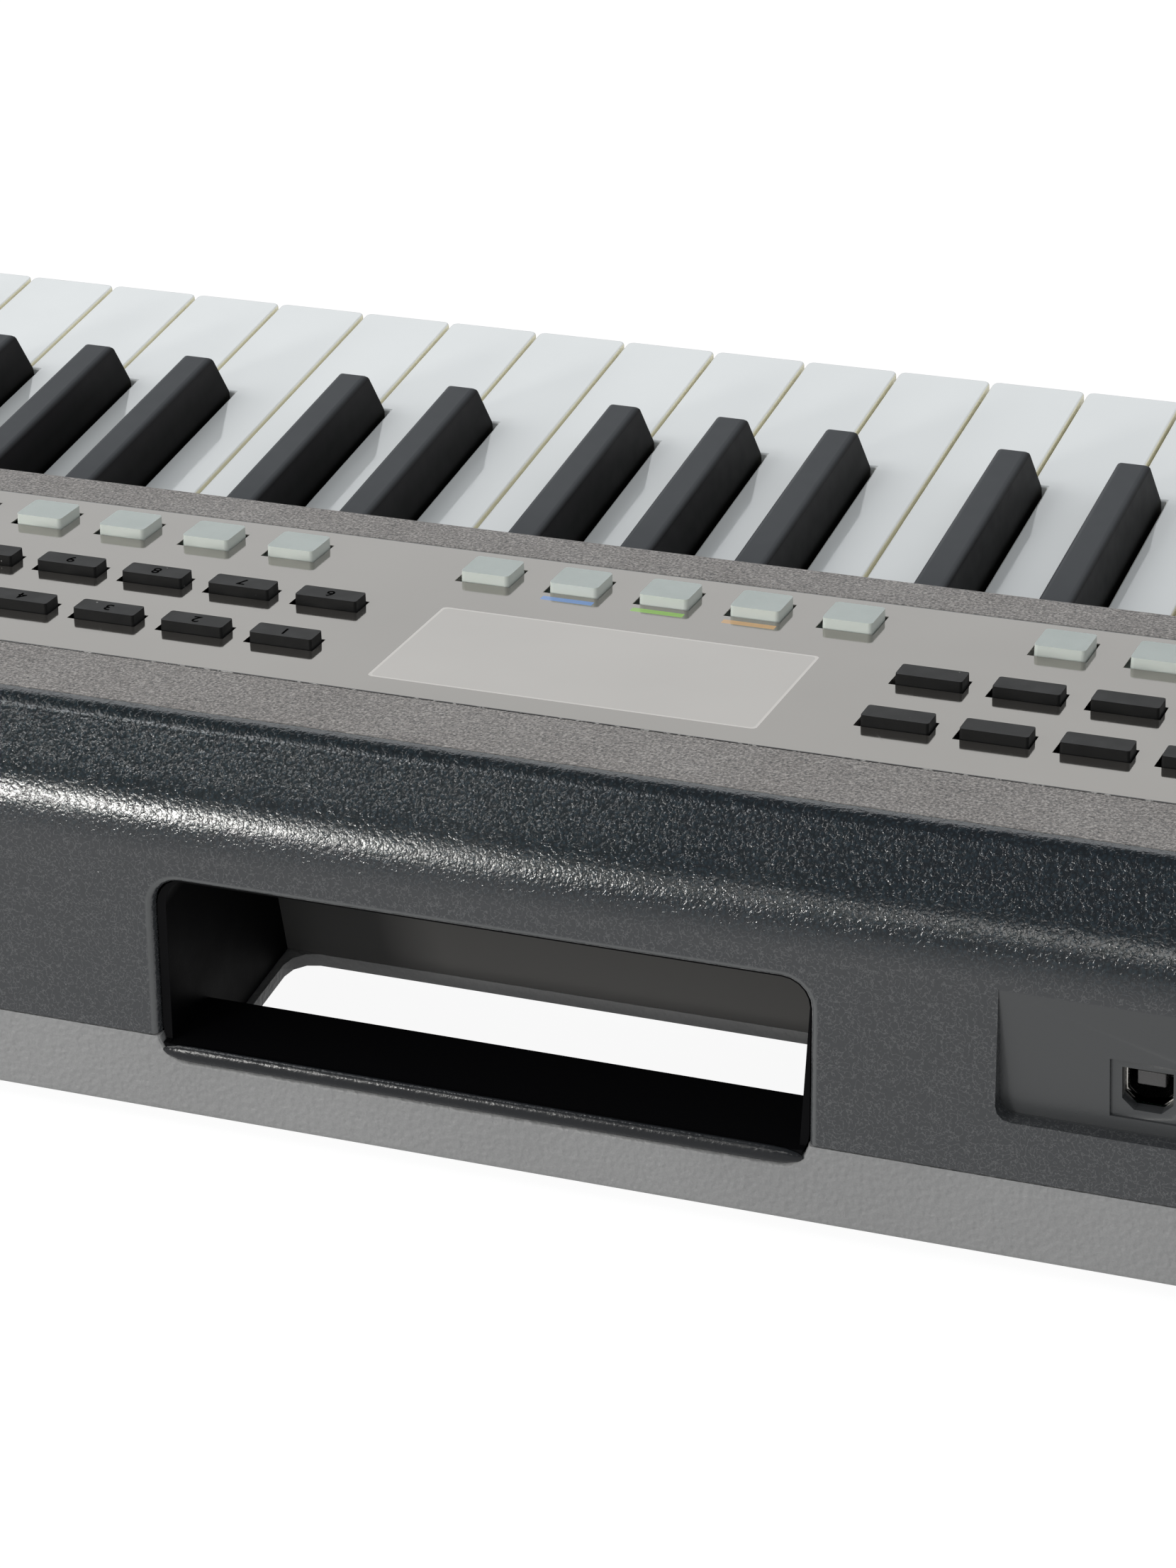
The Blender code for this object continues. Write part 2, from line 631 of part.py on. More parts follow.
def build_lower_case(material):
    """Build the grey lower case: floor, band, key slip, battery bay and bosses."""
    half = LENGTH / 2
    section = rounded(lower_corners(SEAM))
    case = add_object("lower_case", prisms("lower_case", [(section, "X", -half, half)]), material)
    combine(case, add_tool("lower_plan", prisms("lower_plan", [plan_prism(0)])), "INTERSECT")
    corners = inset(lower_corners(SEAM + PAST_SEAM), WALL)
    floor = CASE_BOTTOM + FLOOR_THICKNESS
    corners[0] = (corners[0][0], floor, corners[0][2])
    corners[1] = (corners[1][0], floor, 0)
    hollow = (rounded(corners, 2), "X", -half + WALL, half - WALL)
    inner = add_tool("lower_hollow", prisms("lower_hollow", [hollow]))
    inner_plan = add_tool("lower_hollow_plan", prisms("lower_hollow_plan", [plan_prism(WALL)]))
    combine(inner, inner_plan, "INTERSECT")
    combine(case, inner, "DIFFERENCE")
    slip_top = KEY_TOP - KEY_FRONT_DROP + SLIP_COVER
    slip_half = OPENING_HALF - FIT_GAP
    slip = [(FRONT, SEAM - WALL), (FRONT + WALL, SEAM - WALL), (FRONT + WALL, slip_top - WALL),
            (key_y(-SLIP_BACK), slip_top - WALL), (key_y(-SLIP_BACK), slip_top),
            (FRONT, slip_top, BOTTOM_RADIUS)]
    weld(case, "key_slip", [(rounded(slip), "X", -slip_half, slip_half)])
    bay_top = floor + BAY_DEPTH
    outer = COVER_MARGIN + BAY_WALL
    bay_low = (BAY_X[0] - outer, key_y(BAY_Y[0]) - outer, CASE_BOTTOM + FLOOR_THICKNESS / 2)
    weld(case, "bay_block", [box(bay_low, (BAY_X[1] + outer, key_y(BAY_Y[1]) + outer, bay_top))])
    cover = CASE_BOTTOM + COVER_THICKNESS + FIT_GAP
    cut(case, "bay_inside", [box((BAY_X[0], key_y(BAY_Y[0]), CASE_BOTTOM - WALL),
                                 (BAY_X[1], key_y(BAY_Y[1]), bay_top - BAY_WALL))])
    rebate_low = (BAY_X[0] - COVER_MARGIN, key_y(BAY_Y[0]) - COVER_MARGIN, CASE_BOTTOM - WALL)
    rebate_high = (BAY_X[1] + COVER_MARGIN, key_y(BAY_Y[1]) + COVER_MARGIN, cover)
    cut(case, "cover_rebate", [box(rebate_low, rebate_high)])
    weld(case, "bosses", [(circle(centre, BOSS_RADIUS, 8), "Z", foot - WALL, top)
                          for centre, foot, top in boss_places()])
    low, high = handle_outline(FIT_GAP, CASE_BOTTOM + HANDLE_LIP_BOTTOM - FIT_GAP, SEAM + WALL)
    corners = rectangle(low, high)
    corners[0] = (*low, HANDLE_RADIUS)
    corners[1] = (high[0], low[1], HANDLE_RADIUS)
    cut(case, "handle_notch", [(rounded(corners, HANDLE_ARC_STEPS), "Y", handle_bar_y(), REAR + WALL)])
    mouth_low, mouth_high = handle_outline(-HANDLE_MOUTH_MARGIN, 0, 0)
    cut(case, "handle_mouth", [(rounded(rectangle((mouth_low[0], handle_far_y() + HANDLE_WALL),
                                                  (mouth_high[0], handle_bar_y() - HANDLE_MOUTH_MARGIN),
                                                  HANDLE_RADIUS)), "Z", CASE_BOTTOM - WALL, floor + WALL)])
    pockets = [(circle(foot_place(sx, sy), FOOT_RADIUS + FIT_GAP), "Z", CASE_BOTTOM - WALL,
                CASE_BOTTOM + FOOT_POCKET) for sx in (-1, 1) for sy in (-1, 1)]
    pockets += [(circle((side * x, key_y(y)), WELL_RADIUS), "Z", CASE_BOTTOM - WALL, CASE_BOTTOM + WELL_DEPTH)
                for x in FRAME_BOSS_X for y in FRAME_BOSS_Y for side in (-1, 1)]
    cut(case, "under_pockets", pockets)
    return case


# Panel

def pale_groups():
    """Return the button centres of the three pale rows: bass, middle and treble."""
    inner = [PANEL_CENTRE_X + (i - (PALE_COUNT - 1) / 2) * BUTTON_PITCH for i in range(PALE_COUNT)]
    treble = [PANEL_CENTRE_X + PALE_GROUP_OFFSET + i * BUTTON_PITCH for i in range(PALE_COUNT)]
    bass = [PANEL_CENTRE_X - PALE_GROUP_OFFSET - i * BUTTON_PITCH for i in reversed(range(PALE_COUNT))]
    return {"bass_button_row": bass, "middle_button_row": inner, "treble_button_row": treble}


def dark_groups():
    """Return the button columns of the two rubber keypads."""
    left = [DARK_FIRST_X[0] - i * BUTTON_PITCH for i in reversed(range(DARK_COUNT))]
    right = [DARK_FIRST_X[1] + i * BUTTON_PITCH for i in range(DARK_COUNT)]
    return {"number_keypad": right, "function_keypad": left}


def keypads():
    """Return name, button centres, button sizes, rise and material name of every keypad."""
    result = []
    for name, xs in pale_groups().items():
        result.append((name, [(x, PALE_V) for x in xs], PALE_SIZE, PALE_TOP, PALE_RISE, "pale_button"))
    for name, xs in dark_groups().items():
        centres = [(x, v) for v in DARK_ROWS_V for x in xs]
        result.append((name, centres, DARK_SIZE, DARK_TOP, DARK_RISE, "rubber"))
    return result


def group_rectangle(centres, size, margin):
    """Return the rectangle round a group of buttons."""
    xs = [x for x, _ in centres]
    vs = [v for _, v in centres]
    return rectangle((min(xs) - size[0] / 2 - margin, min(vs) - size[1] / 2 - margin),
                     (max(xs) + size[0] / 2 + margin, max(vs) + size[1] / 2 + margin))


def build_panel(material, panel):
    """Build the taupe panel plate with its windows, grilles and bosses."""
    half = OPENING_HALF - FIT_GAP
    lip_back = -RAIL_WIDTH + PANEL_THICKNESS
    section = [(-RAIL_WIDTH, -RAIL_LIP_DEPTH), (lip_back, -RAIL_LIP_DEPTH), (lip_back, -PANEL_THICKNESS),
               (PANEL_REAR_V, -PANEL_THICKNESS), (PANEL_REAR_V, 0), (-RAIL_WIDTH, 0, RAIL_RADIUS)]
    plate = add_object("control_panel", prisms("control_panel", [(rounded(section), "X", -half, half)]),
                       material, panel)
    through = (-2 * PANEL_THICKNESS, PANEL_THICKNESS)
    weld(plate, "panel_bosses", [(circle(place, PANEL_BOSS_RADIUS, 8), "Z", -PANEL_BOARD_TOP + RUN_GAP,
                                  -PANEL_THICKNESS / 2) for place in PANEL_BOSS_PLACES], panel)
    cut(plate, "film_recess", [box((-FILM_HALF_LENGTH - FILM_SEAM, 0, -FILM_THICKNESS),
                                   (FILM_HALF_LENGTH + FILM_SEAM, FILM_WIDTH, PANEL_THICKNESS))], panel)
    windows = [centred((DISPLAY_X, DISPLAY_V), DISPLAY_GLASS, (FIT_GAP, FIT_GAP)),
               centred((POWER_X, POWER_V), POWER_SIZE, HOLE_CLEARANCE)]
    windows += [group_rectangle(centres, size, WINDOW_MARGIN) for _, centres, size, _, _, _ in keypads()]
    cut(plate, "panel_windows", [(window, "Z", *through) for window in windows], panel)
    slots = []
    for side in (-1, 1):
        for i in range(GRILLE_SLOTS):
            v = SPEAKER_V + (i - (GRILLE_SLOTS - 1) / 2) * GRILLE_PITCH
            slots.append((centred((side * SPEAKER_X, v), GRILLE_SLOT), "Z", *through))
    cut(plate, "speaker_grilles", slots, panel)
    return plate


def build_film(material, panel):
    """Build the overlay with a hole for each button."""
    bottom = -FILM_THICKNESS + FILM_THICKNESS / 5
    sheet = box((-FILM_HALF_LENGTH, FILM_SEAM, bottom), (FILM_HALF_LENGTH, FILM_WIDTH - FILM_SEAM, 0))
    film = add_object("panel_film", prisms("panel_film", [sheet]), material, panel)
    holes = []
    for _, centres, size, _, _, _ in keypads():
        holes += [(centre, size) for centre in centres]
    holes.append(((POWER_X, POWER_V), POWER_SIZE))
    parts = [(centred((x + HOLE_SHIFT, v), size, HOLE_CLEARANCE), "Z", -FILM_THICKNESS * 2, FILM_THICKNESS)
             for (x, v), size in holes]
    cut(film, "film_holes", parts, panel)
    return film


def build_keypad(name, centres, size, top, rise, material, panel):
    """Build one moulding of buttons: a thin sheet under the panel with raised caps."""
    sheet_top = -PANEL_THICKNESS - FIT_GAP
    sheet = group_rectangle(centres, size, WINDOW_MARGIN + PAD_FLANGE)
    pad = add_object(name, prisms(name, [(sheet, "Z", sheet_top - PAD_THICKNESS, sheet_top)]),
                     material, panel)
    bm = bmesh.new()
    for centre in centres:
        frustum(bm, centre, size, top, sheet_top - PAD_THICKNESS / 2, rise)
    combine(pad, add_tool(name + "_caps", finish_mesh(bm, name + "_caps"), panel), "UNION")
    return pad


def build_power_button(material, panel):
    """Build the power button with its flange under the panel."""
    under = -PANEL_THICKNESS - FIT_GAP
    flange = (POWER_SIZE[0] + 2 * PAD_FLANGE, POWER_SIZE[1] + 2 * PAD_FLANGE)
    button = add_object("power_button", prisms("power_button", [box(
        (POWER_X - flange[0] / 2, POWER_V - flange[1] / 2, under - PAD_THICKNESS),
        (POWER_X + flange[0] / 2, POWER_V + flange[1] / 2, under))]), material, panel)
    bm = bmesh.new()
    cap = (POWER_SIZE[0] - WINDOW_MARGIN / 2, POWER_SIZE[1] - WINDOW_MARGIN / 2)
    frustum(bm, (POWER_X, POWER_V), POWER_SIZE, cap, under - PAD_THICKNESS / 2, POWER_RISE)
    combine(button, add_tool("power_cap", finish_mesh(bm, "power_cap"), panel), "UNION")
    return button


def build_display(material, panel):
    """Build the display module: a glass block on a wider base."""
    under = -PANEL_THICKNESS - FIT_GAP
    centre = (DISPLAY_X, DISPLAY_V)
    base = (centred(centre, DISPLAY_BASE), "Z", under - DISPLAY_DEPTH, under)
    glass = (centred(centre, DISPLAY_GLASS), "Z", under - DISPLAY_DEPTH / 2, -FILM_THICKNESS - FIT_GAP)
    module = add_object("display_module", prisms("display_module", [base]), material, panel)
    weld(module, "display_glass", [glass], panel)
    return module


def build_panel_board(material, panel):
    """Build the board that lies under the buttons."""
    return add_object("panel_board", prisms("panel_board", [box(
        (PANEL_BOARD_X[0], PANEL_BOARD_V[0], -PANEL_BOARD_TOP - BOARD_THICKNESS),
        (PANEL_BOARD_X[1], PANEL_BOARD_V[1], -PANEL_BOARD_TOP))]), material, panel)


def build_speaker(name, side, material, panel):
    """Build one oval speaker with its cone cut in."""
    w, h = SPEAKER_SIZE
    centre = (side * SPEAKER_X, SPEAKER_V)

    def oval(scale):
        half_w, half_h = w / 2 * scale, h / 2 * scale
        return rounded(rectangle((centre[0] - half_w, centre[1] - half_h),
                                 (centre[0] + half_w, centre[1] + half_h), half_h * SPEAKER_OVAL), 4)

    top = -PANEL_THICKNESS - FIT_GAP
    basket = top - SPEAKER_FLANGE - SPEAKER_BASKET_DEPTH
    speaker = add_object(name, prisms(name, [(oval(1.0), "Z", top - SPEAKER_FLANGE, top)]), material, panel)
    magnet = (circle(centre, SPEAKER_MAGNET_RADIUS), "Z", basket - SPEAKER_MAGNET_DEPTH,
              basket + SPEAKER_FLANGE)
    cone = (oval(CONE_SCALE), "Z", basket + SPEAKER_FLANGE * 2, top + SPEAKER_FLANGE)
    weld(speaker, name + "_basket", [(oval(BASKET_SCALE), "Z", basket, top - SPEAKER_FLANGE / 2)], panel)
    weld(speaker, name + "_magnet", [magnet], panel)
    cut(speaker, name + "_cone", [cone], panel)
    return speaker


# Keys

def black_centre(index):
    """Return the distance from an octave's left edge to the black key after white key index."""
    if index < 3:
        return 3 * KEY_PITCH / 5 * (1.5 + 2 * index)
    return 3 * KEY_PITCH + 4 * KEY_PITCH / 7 * (1.5 + 2 * (index - 3))


def octave_left(octave):
    """Return the left edge of an octave."""
    return -KEYBED_HALF + (octave - FIRST_OCTAVE) * 7 * KEY_PITCH


def white_mesh(name, octave, index, lone=False):
    """Return one white key: its plan cut to the side profile and hollowed from below."""
    start = octave_left(octave)
    left = start + index * KEY_PITCH + KEY_GAP / 2
    right = left + KEY_PITCH - KEY_GAP
    slot = BLACK_WIDTH / 2 + SLOT_CLEARANCE
    tail_left, tail_right = left, right
    if index - 1 in BLACK_AFTER and not lone:
        tail_left = start + black_centre(index - 1) + slot
    if index in BLACK_AFTER and not lone:
        tail_right = start + black_centre(index) - slot

    def plan(wall, front, end):
        shift = key_y(HEAD_LENGTH) - wall
        points = [(left + wall, front), (right - wall, front), (right - wall, shift)]
        if tail_right < right:
            points.append((tail_right - wall, shift))
        points += [(tail_right - wall, end), (tail_left + wall, end)]
        if tail_left > left:
            points.append((tail_left + wall, shift))
        points.append((left + wall, shift))
        if tail_right == right:
            points.remove((right - wall, shift))
        if tail_left == left:
            points.remove((left + wall, shift))
        return points

    z_top, skirt, low = KEY_TOP, key_z(-SKIRT_DROP), key_z(-KEY_FRONT_DROP)
    side = [(key_y(0), low), (key_y(KEY_TOP_WALL), low), (key_y(4 * KEY_TOP_WALL), skirt),
            (key_y(SHOULDER_Y), skirt), (key_y(SHOULDER_Y) + SKIRT_DROP - TAIL_LOW, key_z(-TAIL_LOW)),
            (key_y(KEY_END_Y), key_z(-TAIL_LOW)), (key_y(KEY_END_Y), key_z(-TAIL_HIGH)),
            (key_y(SHOULDER_Y) + 2 * TAIL_HIGH, key_z(-TAIL_HIGH)), (key_y(SHOULDER_Y), z_top),
            (key_y(0), z_top)]
    body = add_object(name, prisms(name, [(plan(0, key_y(0), key_y(KEY_END_Y)), "Z", low, z_top)]))
    profile = add_tool(name + "_side", prisms(name, [(side, "X", left - KEY_PITCH, right + KEY_PITCH)]))
    pocket = add_tool(name + "_pocket", prisms(name, [
        (plan(KEY_SIDE_WALL, key_y(KEY_TOP_WALL), key_y(SHOULDER_Y) - TAIL_HIGH), "Z",
         low - KEY_TOP_WALL, z_top - KEY_TOP_WALL)]))
    combine(body, profile, "INTERSECT")
    combine(body, pocket, "DIFFERENCE")
    mesh = applied_mesh(body, name)
    drop([body, profile, pocket])
    return mesh


def black_mesh(name, octave, index):
    """Return one black key, lofted through cross-sections from its nose to its tail."""
    centre = octave_left(octave) + black_centre(index)
    taper = (BLACK_WIDTH - BLACK_TOP_WIDTH) / 2 / BLACK_RISE
    stations = [(BLACK_FRONT_Y, BLACK_NOSE_RISE, -BLACK_DROP),
                (BLACK_FRONT_Y + BLACK_SLOPE_RUN, BLACK_RISE, -BLACK_DROP),
                (BLACK_TOP_END_Y, BLACK_RISE, -BLACK_DROP),
                (SHOULDER_Y, BLACK_REAR_TOP, -BLACK_DROP),
                (SHOULDER_Y + 2 * TAIL_HIGH, BLACK_REAR_TOP, -BLACK_REAR_BOTTOM),
                (KEY_END_Y, BLACK_REAR_TOP, -BLACK_REAR_BOTTOM)]
    bm = bmesh.new()
    rings = []
    for y, top, bottom in stations:
        wide = BLACK_WIDTH / 2
        narrow = wide - top * taper
        section = [(-wide, bottom), (wide, bottom), (wide, 0), (narrow, top), (-narrow, top), (-wide, 0)]
        rings.append([bm.verts.new((centre + x, key_y(y), key_z(z))) for x, z in section])
    bm.faces.new(rings[0])
    bm.faces.new(rings[-1])
    for near, far in zip(rings, rings[1:]):
        for i in range(len(near)):
            j = (i + 1) % len(near)
            bm.faces.new((near[i], near[j], far[j], far[i]))
    return finish_mesh(bm, name)


def comb(name, meshes, low, high, material):
    """Join the keys of one octave to the spine behind them."""
    spine = add_object(name, prisms(name, [box(low, high)]), material)
    tools = []
    for i, mesh in enumerate(meshes):
        tools.append(add_tool(f"{name}_{i}", mesh))
        combine(spine, tools[-1], "UNION")
    spine.data = applied_mesh(spine, name)
    spine.modifiers.clear()
    spine.data.materials.clear()
    spine.data.materials.append(material)
    drop(tools)
    return spine


def build_single_octave(octave, materials):
    """Build an octave of keys that hinge one by one."""
    for index, letter in enumerate(WHITE_NAMES):
        name = f"key_{letter}{octave}"
        key = add_object(name, white_mesh(name, octave, index), materials["white_key"])
        set_origin(key, (octave_left(octave) + (index + 0.5) * KEY_PITCH, key_y(HINGE_Y), HINGE_Z))
        if index in BLACK_AFTER:
            name = f"key_{BLACK_AFTER[index]}{octave}"
            key = add_object(name, black_mesh(name, octave, index), materials["black_key"])
            set_origin(key, (octave_left(octave) + black_centre(index), key_y(HINGE_Y), HINGE_Z))


def build_comb_octave(octave, materials):
    """Build an octave as one comb of white keys and one of black keys."""
    start = octave_left(octave)
    axis = (start + 3.5 * KEY_PITCH, key_y(HINGE_Y), HINGE_Z)
    name = f"white_keys_{octave}"
    whites = [white_mesh(f"{name}_{i}", octave, i) for i in range(7)]
    low = (start + KEY_GAP / 2 + KEY_SIDE_WALL, key_y(SPINE_FRONT_Y), key_z(-TAIL_LOW))
    high = (start + 7 * KEY_PITCH - KEY_GAP / 2 - KEY_SIDE_WALL, key_y(KEY_END_Y), key_z(-TAIL_HIGH))
    set_origin(comb(name, whites, low, high, materials["white_key"]), axis)
    name = f"black_keys_{octave}"
    blacks = [black_mesh(f"{name}_{i}", octave, i) for i in BLACK_AFTER]
    low = (start + black_centre(0), key_y(SPINE_FRONT_Y), key_z(-BLACK_REAR_BOTTOM))
    high = (start + black_centre(5), key_y(KEY_END_Y), key_z(BLACK_REAR_TOP))
    set_origin(comb(name, blacks, low, high, materials["black_key"]), axis)


def build_keys(materials):
    """Build all sixty-one keys."""
    octaves = (WHITE_COUNT - 1) // 7
    for octave in range(FIRST_OCTAVE, FIRST_OCTAVE + octaves):
        if octave in SINGLE_OCTAVES:
            build_single_octave(octave, materials)
        else:
            build_comb_octave(octave, materials)
    last = FIRST_OCTAVE + octaves
    name = f"key_c{last}"
    key = add_object(name, white_mesh(name, last, 0, lone=True), materials["white_key"])
    set_origin(key, (octave_left(last) + KEY_PITCH / 2, key_y(HINGE_Y), HINGE_Z))


# Key bed

def pressed_drop(y, rise):
    """Return how far a key's underside sinks at a place when it is pressed."""
    return (HINGE_Y - y) * math.sin(PRESS_ANGLE) + (rise + TAIL_LOW) * (1 - math.cos(PRESS_ANGLE))


def felt_top():
    """Return the felt's top, just under the pressed keys."""
    return key_z(-SKIRT_DROP) - pressed_drop(FELT_Y[0], -SKIRT_DROP) - RUN_GAP


def strip_top():
    """Return the contact strip's top, just under the pressed keys."""
    return key_z(-SKIRT_DROP) - pressed_drop(CONTACT_STRIP_Y[0], -SKIRT_DROP) - RUN_GAP


def build_key_bed(materials):
    """Build the frame, the felt, the contact board and the rubber strip under the keys."""
    base = CASE_BOTTOM + FRAME_BASE + FRAME_WALL
    felt_shelf = felt_top() - FELT_THICKNESS - FIT_GAP
    board_top = strip_top() - CONTACT_STRIP_HEIGHT - FIT_GAP
    board_shelf = board_top - BOARD_THICKNESS - FIT_GAP
    rib_top = HINGE_Z - RUN_GAP
    path = [(FELT_Y[0] - SHELF_MARGIN - FRAME_FRONT_LEDGE, base)]
    for low, high, shelf in ((*FELT_Y, felt_shelf), (*CONTACT_Y, board_shelf)):
        path += [(low - SHELF_MARGIN, base), (low - SHELF_MARGIN, shelf),
                 (high + SHELF_MARGIN, shelf), (high + SHELF_MARGIN, base)]
    path.append((KEY_END_Y + FRAME_REAR_REACH, base))
    outline = strip([(key_y(y), z) for y, z in path], FRAME_WALL)
    half = FRAME_HALF_LENGTH
    frame = add_object("key_frame", prisms("key_frame", [(outline, "X", -half, half)]), materials["frame"])
    rib = rectangle((key_y(HINGE_Y) - RIB_HALF_WIDTH, base - FRAME_WALL / 2),
                    (key_y(HINGE_Y) + RIB_HALF_WIDTH, rib_top))
    weld(frame, "hinge_rib", [(rib, "X", -half, half)])
    strips = (("key_felt", FELT_Y, felt_shelf + FIT_GAP, felt_top(), "felt"),
              ("contact_board", CONTACT_Y, board_top - BOARD_THICKNESS, board_top, "board"),
              ("contact_strip", CONTACT_STRIP_Y, board_top + FIT_GAP, strip_top(), "rubber"))
    for name, (near, far), low, high, slot in strips:
        block = box((-half, key_y(near), low), (half, key_y(far), high))
        add_object(name, prisms(name, [block]), materials[slot])


# Handle

def build_handle(material):
    """Build the tunnel behind the rear opening: roof, sides, far wall, floor and rolled lip."""
    low, high = handle_outline(0, CASE_BOTTOM + HANDLE_LIP_BOTTOM, CASE_BOTTOM + HANDLE_TOP - FIT_GAP)
    foot = CASE_BOTTOM + FLOOR_THICKNESS + RUN_GAP
    far, bar = handle_far_y(), handle_bar_y() - FIT_GAP
    wall = HANDLE_WALL
    left, right, top = low[0] + HANDLE_STEP, high[0] - HANDLE_STEP, high[1] - HANDLE_STEP
    outer = [(far, foot), (bar, foot), (bar, top), (far + HANDLE_FAR_LEAN, top)]
    insert = add_object("handle_insert", prisms("handle_insert", [(outer, "X", left, right)]), material)
    lid = rounded([(left, foot - wall), (right, foot - wall), (right, top, HANDLE_RADIUS - HANDLE_STEP),
                   (left, top, HANDLE_RADIUS - HANDLE_STEP)], HANDLE_ARC_STEPS)
    combine(insert, add_tool("handle_round", prisms("handle_round", [(lid, "Y", -BIG, BIG)])), "INTERSECT")
    sleeve = add_tool("handle_sleeve", prisms("handle_sleeve", [
        (rounded(rectangle(low, high, HANDLE_RADIUS), HANDLE_ARC_STEPS), "Y", bar - wall, REAR)]))
    ledge = CASE_BOTTOM + HANDLE_LIP_TOP
    outside = [(rear_wall_y(0), 0), (BIG, 0), (BIG, BIG), (rear_wall_y(BIG) - HANDLE_SETBACK, BIG),
               (rear_wall_y(ledge) - HANDLE_SETBACK, ledge), (rear_wall_y(ledge), ledge)]
    cut(sleeve, "handle_trim", [(outside, "X", -BIG, BIG)])
    combine(insert, sleeve, "UNION")
    floor = low[1] + HANDLE_FLOOR
    inner = [(far + wall, foot - wall), (bar - wall, foot - wall), (bar - wall, floor), (REAR, ledge),
             (REAR, high[1] - wall), (far + HANDLE_FAR_LEAN + wall, high[1] - wall)]
    tunnel = add_tool("tunnel", prisms("tunnel", [(inner, "X", low[0] + wall, high[0] - wall)]))
    mouth = rounded([(low[0] + wall, foot - wall), (high[0] - wall, foot - wall),
                     (high[0] - wall, high[1] - wall, HANDLE_RADIUS - wall),
                     (low[0] + wall, high[1] - wall, HANDLE_RADIUS - wall)], HANDLE_ARC_STEPS)
    combine(tunnel, add_tool("tunnel_round", prisms("tunnel_round", [(mouth, "Y", -BIG, BIG)])), "INTERSECT")
    combine(insert, tunnel, "DIFFERENCE")
    return insert


# Sockets and boards

def build_sockets(materials):
    """Build the USB socket, the two jacks and the DC socket."""
    front = recess_floor_y() - PAD_WALL - FIT_GAP
    shelf = CASE_BOTTOM + MAIN_BOARD_TOP + FIT_GAP
    z = CASE_BOTTOM + USB_Z
    shell = box((USB_X - USB_SHELL[0] / 2, front - USB_DEPTH, shelf),
                (USB_X + USB_SHELL[0] / 2, front, z + USB_SHELL[1] / 2))
    usb = add_object("usb_socket", prisms("usb_socket", [shell]), materials["steel"])
    cut(usb, "usb_cavity", [(usb_outline(USB_CAVITY), "Y", front - USB_CAVITY_DEPTH, front + WALL)])
    tongue = box((USB_X - USB_TONGUE[0] / 2, front - USB_DEPTH / 2 - WALL, z - USB_TONGUE[1] / 4),
                 (USB_X + USB_TONGUE[0] / 2, front - FIT_GAP, z + USB_TONGUE[1] * 3 / 4))
    weld(usb, "usb_tongue", [tongue])
    centre_z = CASE_BOTTOM + JACK_Z
    jack = (JACK_BODY, JACK_COLLAR_RADIUS, JACK_BORE_RADIUS, JACK_BORE_DEPTH)
    power = (DC_BODY, DC_COLLAR_RADIUS, DC_BORE_RADIUS, DC_BORE_DEPTH)
    for name, x, sizes in (("pedal_jack", PEDAL_X, jack), ("phones_jack", PHONES_X, jack),
                           ("dc_socket", DC_X, power)):
        build_jack(name, (x, centre_z), shelf, front, sizes, materials["gloss_black"])
    dc = bpy.data.objects["dc_socket"]
    face = recess_floor_y() - FIT_GAP
    pin = (circle((DC_X, centre_z), DC_PIN_RADIUS, 8), "Y", face - DC_BORE_DEPTH - WALL, face - WALL)
    weld(dc, "dc_pin", [pin])


def build_jack(name, centre, shelf, front, sizes, material):
    """Build a round socket: a body on the board and a collar through the case."""
    body, collar, bore, depth = sizes
    x, z = centre
    face = recess_floor_y() - FIT_GAP
    block = box((x - body[0] / 2, front - body[1], shelf), (x + body[0] / 2, front, 2 * z - shelf))
    jack = add_object(name, prisms(name, [block]), material)
    weld(jack, name + "_collar", [(circle(centre, collar), "Y", front - body[1] / 2, face)])
    cut(jack, name + "_bore", [(circle(centre, bore), "Y", face - depth, face + WALL)])
    return jack


def build_inside(materials):
    """Build the main board, the battery cover and the feet."""
    top = CASE_BOTTOM + MAIN_BOARD_TOP
    board = box((MAIN_BOARD_X[0], main_board_y()[0], top - BOARD_THICKNESS),
                (MAIN_BOARD_X[1], main_board_y()[1], top))
    add_object("main_board", prisms("main_board", [board]), materials["board"])
    edge = COVER_MARGIN - FIT_GAP
    cover = add_object("battery_cover", prisms("battery_cover", [box(
        (BAY_X[0] - edge, key_y(BAY_Y[0]) - edge, CASE_BOTTOM),
        (BAY_X[1] + edge, key_y(BAY_Y[1]) + edge, CASE_BOTTOM + COVER_THICKNESS))]), materials["grey_case"])
    set_origin(cover, ((BAY_X[0] + BAY_X[1]) / 2, key_y(BAY_Y[1]) + edge, CASE_BOTTOM))
    for name, sx, sy in (("front_bass_foot", -1, -1), ("front_treble_foot", 1, -1),
                         ("rear_bass_foot", -1, 1), ("rear_treble_foot", 1, 1)):
        add_object(name, prisms(name, [(circle(foot_place(sx, sy), FOOT_RADIUS), "Z", 0,
                                        CASE_BOTTOM + FOOT_POCKET - FIT_GAP)]), materials["rubber"])


